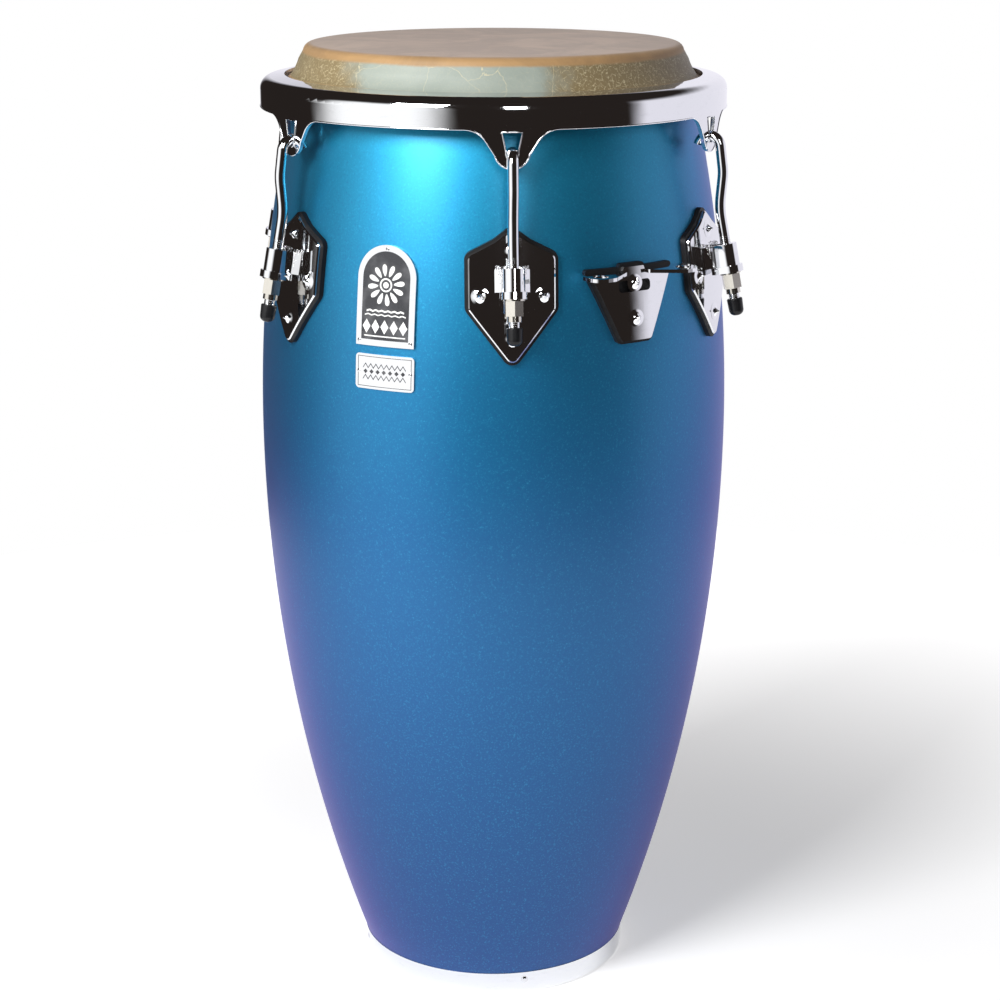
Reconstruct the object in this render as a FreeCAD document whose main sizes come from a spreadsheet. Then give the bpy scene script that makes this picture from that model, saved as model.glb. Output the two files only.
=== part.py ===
"""A full-size conga drum: shell, tucked skin, comfort hoop, six J-hook lugs, badge plates and side bracket.

Frame: millimetres, +Z up along the drum's axis, origin at the middle of the foot ring's underside.
The drum's front, where lug 1 stands, faces -Y. Each piece is drawn with its outward direction along +X
and is then turned about Z to its place. An azimuth of 0 is the front and grows towards +X.
"""
import FreeCAD
import Part
import math
import os
import re
import Sketcher
from FreeCAD import Placement, Rotation, Vector

LUGS = 6
FOOT_SCREWS = 4
STAVES = 24
SHEET = "sizes"
SEAM_BEHIND = Placement(Vector(0, 0, 0), Rotation(Vector(0, 0, 1), 180))

# Driving dimensions, in millimetres and degrees. Each is set by itself.
DIMENSIONS = {
    # Shell and head
    "drum_height": 762.0,
    "head_radius": 147.4,
    "belly_swell": 39.0,
    "belly_share": 0.61024,
    "foot_fall": 77.1,
    "shell_wall": 12.0,
    "edge_share": 0.41667,
    "edge_bulge": 1.25,
    "glue_line_azimuth": 3.75,
    "skin_thickness": 1.6,
    "skin_joint_drop": 12.0,
    # Collar of skin, and the steel ring that it is tucked round
    "collar_spread": 12.1,
    "collar_drop": 26.0,
    "collar_share": 0.157,
    "collar_swell": 1.2,
    "collar_inset": 0.5,
    "collar_sink": 0.6,
    "flesh_ring_spread": 20.6,
    "flesh_ring_rod": 3.9,
    "flesh_ring_drop": 33.0,
    "tuck_gap": 0.1,
    "tuck_depth": 3.5,
    # Tension hoop and its ears
    "hoop_stand": 14.0,
    "hoop_wall": 3.0,
    "hoop_inner_spread": 15.6,
    "hoop_drop": 23.3,
    "hoop_shoulder_fall": 3.0,
    "hoop_skirt": 21.2,
    "hoop_bend": 9.0,
    "ear_root_width": 66.0,
    "ear_waist_width": 36.0,
    "ear_waist_depth": 9.5,
    "ear_neck_width": 25.2,
    "ear_neck_depth": 17.8,
    "ear_depth": 28.0,
    "ear_flank_bend": 18.6,
    "slot_top_width": 14.7,
    "slot_clearance": 0.55,
    "slot_top_depth": 1.7,
    "slot_taper_depth": 15.5,
    "slot_floor_flat": 0.1,
    "ear_overlap": 1.0,
    # J-hook, nut and what they pass through
    "rod_radius": 3.97,
    "rod_stand": 14.0,
    "clamp_drop": 152.0,
    "hook_bend": 8.9,
    "hook_crown_shift": 0.5,
    "hook_seat_gap": 1.6,
    "crown_depth": 16.0,
    "hook_splay": 8.0,
    "hook_shoulder_depth": 27.2,
    "hook_knee_depth": 53.6,
    "hook_knee_reach": 9.3,
    "shoulder_bend": 40.0,
    "knee_bend": 60.0,
    "hook_tip_rise": 2.2,
    "rod_end": 43.0,
    "pass_clearance": 0.28,
    "run_clearance": 0.05,
    "strap_wall": 4.0,
    "strap_length": 16.6,
    "strap_drop": 9.1,
    "strap_foot_width": 25.6,
    "strap_foot_rise": 4.0,
    "strap_trim": 40.0,
    "seat_width": 18.8,
    "seat_outward": 10.0,
    "seat_inward": 12.5,
    "seat_thickness": 5.2,
    "seat_corner": 4.0,
    "seat_nose_corner": 8.4,
    "seat_washer_radius": 8.0,
    "seat_washer_thickness": 1.2,
    "nut_gap": 0.1,
    "nut_flats": 12.7,
    "nut_length": 11.0,
    "nut_collar_radius": 5.5,
    "nut_collar_length": 4.0,
    "cap_radius": 6.0,
    "cap_length": 13.2,
    "cap_gap": 4.0,
    "cap_nose": 4.5,
    "cap_edge": 1.0,
    "cap_draft": 0.6,
    # Lug plate and gasket
    "gasket_thickness": 3.6,
    "gasket_margin": 2.4,
    "plate_thickness": 2.6,
    "plate_bevel": 0.9,
    "plate_width": 63.4,
    "plate_peak": 32.5,
    "plate_shoulder": 13.4,
    "plate_waist": 24.8,
    "plate_point": 66.0,
    "plate_corner": 5.0,
    "plate_peak_half": 12.2,
    "plate_peak_share": 0.72,
    "plate_peak_bend": 25.0,
    "trim_margin": 10.0,
    # Carriage bolts that hold the plates and the bracket
    "bolt_radius": 3.0,
    "bolt_hole_clearance": 0.2,
    "bolt_head_radius": 6.75,
    "bolt_head_height": 4.5,
    "bolt_spread": 22.5,
    "bolt_top_rise": 17.0,
    "bolt_side_drop": 15.4,
    "bolt_low_drop": 46.0,
    "bolt_washer_radius": 9.0,
    "bolt_washer_thickness": 1.5,
    "bolt_washer_standoff": 0.05,
    "bolt_nut_flats": 10.0,
    "bolt_nut_height": 5.0,
    "bolt_tail": 2.0,
    # Badge and name plate
    "badge_azimuth": -30.0,
    "badge_drop": 207.5,
    "badge_height": 74.0,
    "badge_width": 48.0,
    "badge_thickness": 2.4,
    "badge_recess": 0.9,
    "badge_border": 4.5,
    "badge_panel_sink": 0.3,
    "badge_gap": 6.5,
    "name_height": 26.0,
    "name_width": 48.6,
    "name_thickness": 1.5,
    "name_corner": 3.0,
    "dome_flat": 0.25,
    "pin_radius": 1.6,
    "pin_inset": 3.3,
    "pin_head_height": 0.9,
    "pin_depth": 6.0,
    # Side bracket
    "bracket_azimuth": 30.0,
    "bracket_drop": 153.0,
    "bracket_length": 51.5,
    "bracket_top_width": 74.0,
    "bracket_foot_width": 27.0,
    "bracket_corner": 3.0,
    "tongue_width": 20.0,
    "tongue_rise": 2.6,
    "tongue_corner": 1.0,
    "bracket_slot_width": 29.0,
    "bracket_slot_height": 8.5,
    "bracket_slot_drop": 11.5,
    "bracket_slot_corner": 2.975,
    "bracket_bolt_drop": 10.0,
    "bracket_bolt_spacing": 25.7,
    "wing_hole_radius": 5.75,
    "wing_hole_spread": 76.0,
    "wing_hole_stand": 10.0,
    "wing_rim": 4.75,
    "wing_root_sink": 4.44,
    "wing_root_back": 6.0,
    "wing_end_inset": 3.0,
    "wing_step": 5.0,
    "wing_taper": 6.3,
    "wing_soft_corner": 8.4,
    "wing_tight_corner": 9.975,
    # Foot ring
    "ring_height": 18.7,
    "ring_wall": 1.6,
    "ring_proud": 0.4,
    "ring_bend": 3.0,
    "ring_lip": 10.0,
    "screw_height": 12.4,
    "screw_azimuth": 9.2,
    "screw_radius": 1.6,
    "screw_head_radius": 3.1,
    "screw_head_height": 1.5,
    "screw_socket_radius": 1.4,
    "screw_socket_depth": 0.8,
    "screw_length": 13.0,
    "screw_point": 2.0,
}

# Sizes that follow from the driving ones.
DERIVED = {
    "shell_top": "drum_height - skin_thickness",
    "edge_rounding": "shell_wall * edge_share",
    "belly_radius": "head_radius + belly_swell",
    "belly_height": "drum_height * belly_share",
    "foot_radius": "belly_radius - foot_fall",
    "upper_fall": "belly_radius - head_radius",
    "upper_rise": "shell_top - belly_height",
    "upper_arc": "(upper_fall * upper_fall + upper_rise * upper_rise) / (2 * upper_fall)",
    "lower_fall": "belly_radius - foot_radius",
    "lower_rise": "belly_height - ring_height",
    "lower_arc": "(lower_fall * lower_fall + lower_rise * lower_rise) / (2 * lower_fall)",
    "ring_radius": "foot_radius + ring_proud",
    "ring_seat": "ring_radius - ring_wall",
    "skin_joint": "drum_height - skin_joint_drop",
    "collar_radius": "head_radius + collar_spread",
    "collar_height": "drum_height - collar_drop",
    "flesh_ring_radius": "head_radius + flesh_ring_spread",
    "flesh_height": "drum_height - flesh_ring_drop",
    "tuck_inner": "flesh_ring_rod + tuck_gap",
    "tuck_outer": "tuck_inner + skin_thickness",
    "hoop_radius": "flesh_ring_radius + hoop_stand",
    "hoop_inner_radius": "head_radius + hoop_inner_spread",
    "hoop_top": "drum_height - hoop_drop",
    "hoop_edge": "hoop_top - hoop_shoulder_fall - hoop_skirt",
    "ear_tip": "hoop_edge - ear_depth",
    "ear_waist": "hoop_edge - ear_waist_depth",
    "ear_neck": "hoop_edge - ear_neck_depth",
    "ear_tip_rise": "ear_neck - ear_tip",
    "ear_tip_bend": "((ear_neck_width / 2)^2 + ear_tip_rise^2) / (2 * ear_tip_rise)",
    "slot_width": "2 * (rod_radius + slot_clearance)",
    "slot_floor": "crown_height - rod_radius - hook_seat_gap",
    "crown_height": "hoop_edge - crown_depth",
    "plate_face": "gasket_thickness + plate_thickness",
    "clamp_height": "drum_height - clamp_drop",
    "clamp_rise": "clamp_height - belly_height",
    "rod_reach": "belly_radius - upper_arc + sqrt((upper_arc + plate_face)^2 - clamp_rise^2) + rod_stand",
    "hook_crown_reach": "hoop_radius - hoop_wall / 2 + hook_crown_shift",
    "knee_reach": "hook_crown_reach + hook_knee_reach",
    "knee_height": "crown_height - hook_knee_depth",
    "rod_tilt": "atan((rod_reach - knee_reach) / (knee_height - clamp_height))",
    "strap_bend": "rod_radius + pass_clearance + strap_wall",
    "strap_bore": "rod_radius + pass_clearance",
    "seat_top": "0 - strap_drop",
    "seat_base": "seat_top - seat_thickness",
    "washer_base": "seat_base - seat_washer_thickness",
    "nut_top": "washer_base - nut_gap",
    "nut_base": "nut_top - nut_length",
    "nut_end": "nut_base - nut_collar_length",
    "cap_top": "nut_end - cap_gap",
    "bolt_washer_sag": "bolt_washer_radius^2 / (2 * (head_radius - shell_wall))",
    "badge_base": "drum_height - badge_drop",
    "name_base": "badge_base - badge_gap - name_height",
    "bracket_top": "drum_height - bracket_drop",
    "bracket_foot": "bracket_top - bracket_length",
    "bracket_bolt_high": "bracket_top - bracket_bolt_drop",
    "bracket_bolt_low": "bracket_bolt_high - bracket_bolt_spacing",
    "bracket_slot_z": "bracket_top - bracket_slot_drop",
    "bracket_rise": "bracket_top - belly_height",
    "bracket_reach": "belly_radius - upper_arc + sqrt((upper_arc + plate_face)^2 - bracket_rise^2)",
    "wing_hole_reach": "bracket_reach + wing_hole_stand",
}


def expand(text):
    """Return a formula in which every size is named in the sheet."""

    def full_name(match):
        word = match.group(0)
        if word in DERIVED:
            return "(" + expand(DERIVED[word]) + ")"
        if word in DIMENSIONS:
            return SHEET + "." + word
        return word

    return re.sub(r"[a-z][a-z_]*", full_name, str(text))


def size(text):
    """Return the value of a formula."""
    return float(sheet.evalExpression(expand(text)))


def bind(item, **formulas):
    """Bind properties of an object to formulas; a double underscore stands for a dot."""
    for name, text in formulas.items():
        item.setExpression(name.replace("__", "."), expand(text))


def upper_surface(height, outward="0"):
    """Return the formula of the shell's radius above the belly, moved outward along its normal."""
    return f"(belly_radius - upper_arc + sqrt((upper_arc + {outward})^2 - ({height} - belly_height)^2))"


def lower_surface(height, outward="0"):
    """Return the formula of the shell's radius below the belly, moved outward along its normal."""
    return f"(belly_radius - lower_arc + sqrt((lower_arc + {outward})^2 - ({height} - belly_height)^2))"


class Outline:
    """Draws one chain of edges in a sketch, with every corner and radius bound to the sheet.

    A corner is (across, up), (across, up, rounding) or (across, up, None, bulge), where bulge is the
    radius of the arc to the next corner. A bulge that starts with "~" curves to the right of the way.
    """

    def __init__(self, sketch, corners, closed=True):
        self.sketch = sketch
        self.corners = [tuple(corner) + (None,) * (4 - len(corner)) for corner in corners]
        self.points = [Vector(size(corner[0]), size(corner[1]), 0) for corner in self.corners]
        self.closed = closed
        self.draw()

    def add(self, kind, *references, **bound):
        """Add a constraint and bind its value."""
        value = [size(text) for text in bound.values()]
        index = self.sketch.addConstraint(Sketcher.Constraint(kind, *references, *value))
        for text in bound.values():
            self.sketch.setExpression(f"Constraints[{index}]", expand(text))

    def fix(self, geometry, end, corner):
        """Hold a point at its corner's distances from the origin."""
        for kind, text in (("DistanceX", corner[0]), ("DistanceY", corner[1])):
            self.add(kind, -1, 1, geometry, end, value=text)

    def tangent_length(self, index):
        """Return how far a rounding reaches along its edges."""
        if self.corners[index][2] is None:
            return 0.0
        here = self.points[index]
        back = self.points[index - 1] - here
        ahead = self.points[(index + 1) % len(self.points)] - here
        return size(self.corners[index][2]) / math.tan(back.getAngle(ahead) / 2)

    def arc(self, start, end, centre):
        """Add the shorter arc between two points; return its number and which end is the start."""
        first = math.atan2(start.y - centre.y, start.x - centre.x)
        last = math.atan2(end.y - centre.y, end.x - centre.x)
        circle = Part.Circle(centre, Vector(0, 0, 1), (start - centre).Length)
        turn = (last - first) % (2 * math.pi)
        if turn <= math.pi:
            return self.sketch.addGeometry(Part.ArcOfCircle(circle, first, first + turn), False), 1, 2
        return self.sketch.addGeometry(Part.ArcOfCircle(circle, last, last + 2 * math.pi - turn), False), 2, 1

    def edge(self, index):
        """Add the edge that leaves a corner, as (number, start end, far end)."""
        after = (index + 1) % len(self.points)
        start, end = self.points[index], self.points[after]
        way = (end - start).normalize()
        bulge = self.corners[index][3]
        if bulge is None:
            near = start + way * self.tangent_length(index)
            far = end - way * self.tangent_length(after)
            return self.sketch.addGeometry(Part.LineSegment(near, far), False), 1, 2
        side = Vector(-way.y, way.x, 0) * (-1 if bulge.startswith("~") else 1)
        radius = size(bulge.strip("~"))
        half = (end - start).Length / 2
        centre = start + way * half - side * math.sqrt(max(radius * radius - half * half, 0))
        drawn = self.arc(start, end, centre)
        self.add("Radius", drawn[0], value=bulge.strip("~"))
        return drawn

    def join(self, index, before, after):
        """Join two edges at their corner, with its rounding if it has one."""
        corner = self.corners[index]
        if corner[2] is None:
            self.add("Coincident", before[0], before[2], after[0], after[1])
            self.fix(after[0], after[1], corner)
            return
        here = self.points[index]
        reach = self.tangent_length(index)
        back = (self.points[index - 1] - here).normalize()
        ahead = (self.points[(index + 1) % len(self.points)] - here).normalize()
        centre = here + (back + ahead).normalize() * math.hypot(reach, size(corner[2]))
        bend = self.arc(here + back * reach, here + ahead * reach, centre)
        tip = self.sketch.addGeometry(Part.Point(here), True)
        self.fix(tip, 1, corner)
        for line in (before[0], after[0]):
            self.add("PointOnObject", tip, 1, line)
        self.add("Tangent", before[0], before[2], bend[0], bend[1])
        self.add("Tangent", bend[0], bend[2], after[0], after[1])
        self.add("Radius", bend[0], value=corner[2])

    def draw(self):
        """Draw the whole chain."""
        count = len(self.points)
        edges = [self.edge(index) for index in range(count if self.closed else count - 1)]
        for index in range(0 if self.closed else 1, len(edges)):
            self.join(index, edges[index - 1], edges[index])
        if not self.closed:
            self.fix(edges[0][0], edges[0][1], self.corners[0])
            self.fix(edges[-1][0], edges[-1][2], self.corners[-1])


def plane(body, role):
    """Return one of a body's own origin planes."""
    return next(item for item in body.Origin.OriginFeatures if item.Role == role)


def body_sketch(body, name, role, corners=(), closed=True):
    """Add a sketch on a body's origin plane, with an outline."""
    sketch = body.newObject("Sketcher::SketchObject", name)
    sketch.AttachmentSupport = (plane(body, role), "")
    sketch.MapMode = "FlatFace"
    if corners:
        Outline(sketch, corners, closed)
    return sketch


def circle_in(sketch, radius, across="0", up="0"):
    """Add a circle to a sketch, bound to the sheet."""
    middle = Vector(size(across), size(up), 0)
    number = sketch.addGeometry(Part.Circle(middle, Vector(0, 0, 1), size(radius)), False)
    for kind, references, text in (
        ("Radius", (number,), radius),
        ("DistanceX", (-1, 1, number, 3), across),
        ("DistanceY", (-1, 1, number, 3), up),
    ):
        index = sketch.addConstraint(Sketcher.Constraint(kind, *references, size(text)))
        sketch.setExpression(f"Constraints[{index}]", expand(text))


def new_body(name):
    """Add a body."""
    body = document.addObject("PartDesign::Body", name)
    document.recompute()
    return body


def turned(name, corners, axis="V_Axis"):
    """Make a body by turning a half section, drawn as (radius, height), about the drum's own axis.

    With axis "H_Axis" the section is drawn as (distance outward, radius) and is turned about +X.
    """
    body = new_body(name)
    section = body_sketch(body, name + "_section", "XZ_Plane", corners)
    turn = body.newObject("PartDesign::Revolution", name + "_turn")
    turn.Profile = section
    turn.ReferenceAxis = (section, [axis])
    turn.Angle = 360
    document.recompute()
    return body


def pad(body, name, sketch, length, start="0"):
    """Pad a sketch from a start distance along its normal."""
    sketch.setExpression("AttachmentOffset.Base.z", expand(start))
    feature = body.newObject("PartDesign::Pad", name)
    feature.Profile = sketch
    bind(feature, Length=length)
    document.recompute()
    return feature


def boolean(kind, name, first, *others):
    """Combine shapes with one of Part's booleans: Cut, Common or MultiFuse."""
    feature = document.addObject("Part::" + kind, name)
    if kind == "Cut" or kind == "Common":
        feature.Base = first
        feature.Tool = others[0]
    else:
        feature.Shapes = [first, *others]
        feature.Refine = True
    document.recompute()
    return feature


def band(name, base, top, inner, outer):
    """Make a ring that follows the shell's upper surface, between two distances outward from it."""
    ring = turned(name, [
        (upper_surface(base, inner), base, None, f"~upper_arc + {inner}"),
        (upper_surface(top, inner), top),
        (upper_surface(top, outer), top, None, f"upper_arc + {outer}"),
        (upper_surface(base, outer), base),
    ])
    ring.Placement = SEAM_BEHIND
    document.recompute()
    return ring


def front_outline(name, corners):
    """Draw an outline seen from the front, as (sideways, height), in a sketch that faces +X."""
    sketch = document.addObject("Sketcher::SketchObject", name)
    sketch.Placement = Placement(Vector(0, 0, 0), Rotation(Vector(1, 1, 1), 120))
    Outline(sketch, corners)
    document.recompute()
    return sketch


def prism(name, outline):
    """Extend a front outline outward, past the belly."""
    feature = document.addObject("Part::Extrusion", name)
    feature.Base = outline
    feature.DirMode = "Custom"
    feature.Dir = Vector(1, 0, 0)
    feature.Solid = True
    bind(feature, LengthFwd="belly_radius * 2")
    document.recompute()
    return feature


def wrapped(name, outline, base, top, inner, outer):
    """Make sheet of a front outline that follows the shell's surface."""
    layer = band(name + "_band", base, top, inner, outer)
    return boolean("Common", name, prism(name + "_prism", outline), layer)


def widened(name, outline, margin):
    """Return an outline moved outward by a margin."""
    feature = document.addObject("Part::Offset2D", name)
    feature.Source = outline
    feature.Join = 0
    bind(feature, Value=margin)
    document.recompute()
    return feature


def turn_to(azimuth):
    """Return the turn about Z that takes +X to an azimuth."""
    return Placement(Vector(0, 0, 0), Rotation(Vector(0, 0, 1), azimuth - 90))


def copy_of(master, label, placement):
    """Place one more of a piece, as it was drawn."""
    feature = document.addObject("Part::Compound", label)
    feature.Label = label
    feature.Links = [master]
    feature.Placement = placement
    return feature


def node(item):
    """List an object as one of the drum's sub-parts; its label names its file."""
    item.Label = item.Name
    nodes.append(item)
    return item


def place(master, label, azimuth):
    """Put one sub-part at its azimuth."""
    return node(copy_of(master, label, turn_to(azimuth)))


def place_round(master, label):
    """Put one numbered sub-part at each lug."""
    return [place(master, f"{label}_{number + 1}", azimuth) for number, azimuth in enumerate(lug_azimuths)]


def group(label, master, placements):
    """Join identical pieces in one node, each still a solid of its own."""
    copies = [copy_of(master, f"{label}_{number + 1}", spot) for number, spot in enumerate(placements)]
    feature = document.addObject("Part::Compound", label)
    feature.Links = copies
    document.recompute()
    return feature


def rod_frame():
    """Return the frame of a lug's rod: origin at clamp height on its axis, +Z up along the rod."""
    return Placement(
        Vector(size("rod_reach"), 0, size("clamp_height")), Rotation(Vector(0, 1, 0), -size("rod_tilt"))
    )


def on_shell(height, azimuth, sideways=0.0):
    """Return a fastener's frame: origin on the shell's face, +X straight out of it."""
    radius = size(upper_surface(str(height)))
    slope = math.degrees(math.asin((height - size("belly_height")) / size("upper_arc")))
    swing = math.degrees(math.asin(sideways / radius))
    stand = Placement(Vector(radius, 0, height), Rotation(Vector(0, 1, 0), -slope))
    return turn_to(azimuth + swing) * stand


def bolt_spots():
    """Return the frames of every carriage bolt that holds a lug plate."""
    clamp = size("clamp_height")
    high = clamp + size("bolt_top_rise")
    middle = clamp - size("bolt_side_drop")
    low = clamp - size("bolt_low_drop")
    spread = size("bolt_spread")
    spots = []
    for azimuth in lug_azimuths:
        spots.append(on_shell(high, azimuth))
        spots.append(on_shell(middle, azimuth, -spread))
        spots.append(on_shell(middle, azimuth, spread))
        spots.append(on_shell(low, azimuth))
    return spots


def bracket_spots():
    """Return the frames of the side bracket's two bolts."""
    azimuth = size("bracket_azimuth")
    return [on_shell(size("bracket_bolt_high"), azimuth), on_shell(size("bracket_bolt_low"), azimuth)]


def badge_pin_spots():
    """Return the frames of the arched badge's pins: one at the top and one in each lower corner."""
    azimuth = size("badge_azimuth")
    side = size("badge_width / 2 - pin_inset")
    base = size("badge_base + pin_inset")
    crown = size("badge_base + badge_height - pin_inset")
    return [on_shell(crown, azimuth), on_shell(base, azimuth, -side), on_shell(base, azimuth, side)]


def name_pin_spots():
    """Return the frames of the name plate's two pins, in the middle of its short sides."""
    azimuth = size("badge_azimuth")
    side = size("name_width / 2 - pin_inset")
    middle = size("name_base + name_height / 2")
    return [on_shell(middle, azimuth, -side), on_shell(middle, azimuth, side)]


def screw_spots():
    """Return the frames of the foot ring's screws: origin on the ring's face, +X straight out."""
    step = 360.0 / FOOT_SCREWS
    face = Placement(Vector(size("ring_radius"), 0, size("screw_height")), Rotation())
    return [turn_to(size("screw_azimuth") + number * step) * face for number in range(FOOT_SCREWS)]


def make_fastener(name, corners):
    """Make a fastener by turning a half section, drawn as (distance outward, radius), about +X."""
    return turned(name, corners, "H_Axis")


def dome(base, radius, height):
    """Return the corners of a domed head, from its rim to the small flat on its crown."""
    return [
        (base, radius, None, f"~(({radius})^2 + ({height})^2) / (2 * ({height}))"),
        (f"{base} + {height}", "dome_flat"),
        (f"{base} + {height}", "0"),
    ]


def hex_nut(name, flats, height, bore, start):
    """Make a plain hexagon nut on +X."""
    body = new_body(name)
    sketch = body_sketch(body, name + "_section", "YZ_Plane")
    hexagon(sketch, flats)
    circle_in(sketch, bore)
    pad(body, name + "_pad", sketch, height, start)
    return body


def hexagon(sketch, flats):
    """Draw a hexagon about the origin by the distance across its flats."""
    corners = []
    for number in range(6):
        across, up = math.cos(math.radians(60 * number)), math.sin(math.radians(60 * number))
        corners.append((f"({flats}) / sqrt(3) * {across:.9f}", f"({flats}) / sqrt(3) * {up:.9f}"))
    Outline(sketch, corners)


def shell_section():
    """Return the half section of the shell's wall: foot ring's seat, barrel and rounded bearing edge."""
    top, edge = "shell_top", "edge_rounding"
    return [
        ("ring_seat", "ring_wall"),
        ("ring_seat", "ring_height"),
        ("foot_radius", "ring_height", None, "~lower_arc"),
        ("belly_radius", "belly_height", None, "~upper_arc"),
        (upper_surface(f"({top} - {edge})"), f"{top} - {edge}", None, f"~{edge} * edge_bulge"),
        (f"head_radius - {edge}", top),
        (f"head_radius - shell_wall + {edge}", top, None, f"~{edge} * edge_bulge"),
        (upper_surface(f"({top} - {edge})", "(0 - shell_wall)"), f"{top} - {edge}", None,
         "upper_arc - shell_wall"),
        ("belly_radius - shell_wall", "belly_height", None, "lower_arc - shell_wall"),
        (lower_surface("ring_wall", "(0 - shell_wall)"), "ring_wall"),
    ]


def make_shell(holes):
    """Shell of glued staves, each drilled where a fastener crosses it. No fastener meets a glue line."""
    stave = turned("stave_blank", shell_section())
    turn = document.getObject("stave_blank_turn")
    bind(turn, Angle=f"360 / {STAVES}")
    document.recompute()
    step = 360.0 / STAVES
    start = size("glue_line_azimuth")
    staves = []
    for number in range(STAVES):
        blank = copy_of(stave, f"stave_blank_{number + 1}", turn_to(start + number * step))
        staves.append(boolean("Cut", f"stave_{number + 1}", blank, holes))
    shell = document.addObject("Part::Compound", "shell")
    shell.Links = staves
    document.recompute()
    node(shell)


def make_foot_ring():
    """Steel foot ring: a wall round the shell's seat, a rolled bottom corner and a lip under the shell."""
    ring = turned("foot_ring_blank", [
        ("ring_radius", "0", "ring_bend"),
        ("ring_radius", "ring_height"),
        ("ring_seat", "ring_height"),
        ("ring_seat", "ring_wall"),
        ("ring_seat - ring_lip", "ring_wall"),
        ("ring_seat - ring_lip", "0"),
    ])
    drill = document.addObject("Part::Cylinder", "screw_drill")
    bind(drill, Radius="screw_radius", Height="screw_length + ring_wall")
    drill.Placement = Placement(Vector(0, 0, 0), Rotation(Vector(0, 1, 0), -90))
    document.recompute()
    holes = group("screw_holes", drill, screw_spots())
    node(boolean("Cut", "foot_ring", ring, holes))
    screw = make_fastener("screw_blank", [
        ("0 - screw_length", "0"),
        ("screw_point - screw_length", "screw_radius"),
        ("0", "screw_radius"),
        *dome("0", "screw_head_radius", "screw_head_height"),
    ])
    socket = new_body("screw_socket")
    sketch = body_sketch(socket, "screw_socket_section", "YZ_Plane")
    hexagon(sketch, "screw_socket_radius * sqrt(3)")
    pad(socket, "screw_socket_pad", sketch, "screw_socket_depth", "screw_head_height - screw_socket_depth")
    screw = boolean("Cut", "foot_ring_screw", screw, socket)
    node(group("foot_ring_screws", screw, screw_spots()))
    return holes


def make_skin():
    """Skin: the playing face and its edge, the collar below it, and the ring that it is tucked round."""
    edge_radius = upper_surface("skin_joint", "skin_thickness")
    bend = "((skin_joint + collar_height) / 2)"
    stand = f"(collar_radius - {upper_surface('collar_height')}) * collar_share"
    blank = turned("skin_blank", [
        ("0", "shell_top"),
        ("head_radius - shell_wall / 2", "shell_top"),
        ("head_radius - shell_wall / 2", "skin_joint"),
        (edge_radius, "skin_joint"),
        (upper_surface("(shell_top - edge_rounding)", "skin_thickness"), "shell_top - edge_rounding", None,
         "~(edge_rounding + skin_thickness) * edge_bulge"),
        ("head_radius - edge_rounding - skin_thickness / 2", "drum_height"),
        ("0", "drum_height"),
    ])
    whole_shell = turned("skin_former", shell_section())
    node(boolean("Cut", "drumhead_skin", blank, whole_shell))
    node(turned("skin_collar", [
        (upper_surface("skin_joint"), "skin_joint"),
        (f"{upper_surface(f'({bend} - collar_sink)')} + {stand} - collar_inset", f"{bend} - collar_sink",
         "edge_rounding"),
        ("collar_radius - collar_sink", "collar_height - skin_thickness", "edge_rounding"),
        ("flesh_ring_radius", "flesh_height + tuck_inner", None, "tuck_inner"),
        ("flesh_ring_radius + tuck_inner", "flesh_height"),
        ("flesh_ring_radius + tuck_inner", "flesh_height - tuck_depth"),
        ("flesh_ring_radius + tuck_outer", "flesh_height - tuck_depth"),
        ("flesh_ring_radius + tuck_outer", "flesh_height", None, "~tuck_outer"),
        ("flesh_ring_radius", "flesh_height + tuck_outer"),
        ("collar_radius", "collar_height", "edge_rounding"),
        (f"{upper_surface(bend)} + {stand} + collar_swell", bend, "edge_rounding"),
        (edge_radius, "skin_joint"),
    ]))
    ring = document.addObject("Part::Torus", "flesh_ring")
    bind(ring, Radius1="flesh_ring_radius", Radius2="flesh_ring_rod")
    bind(ring, Placement__Base__z="flesh_height")
    document.recompute()
    node(ring)


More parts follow.
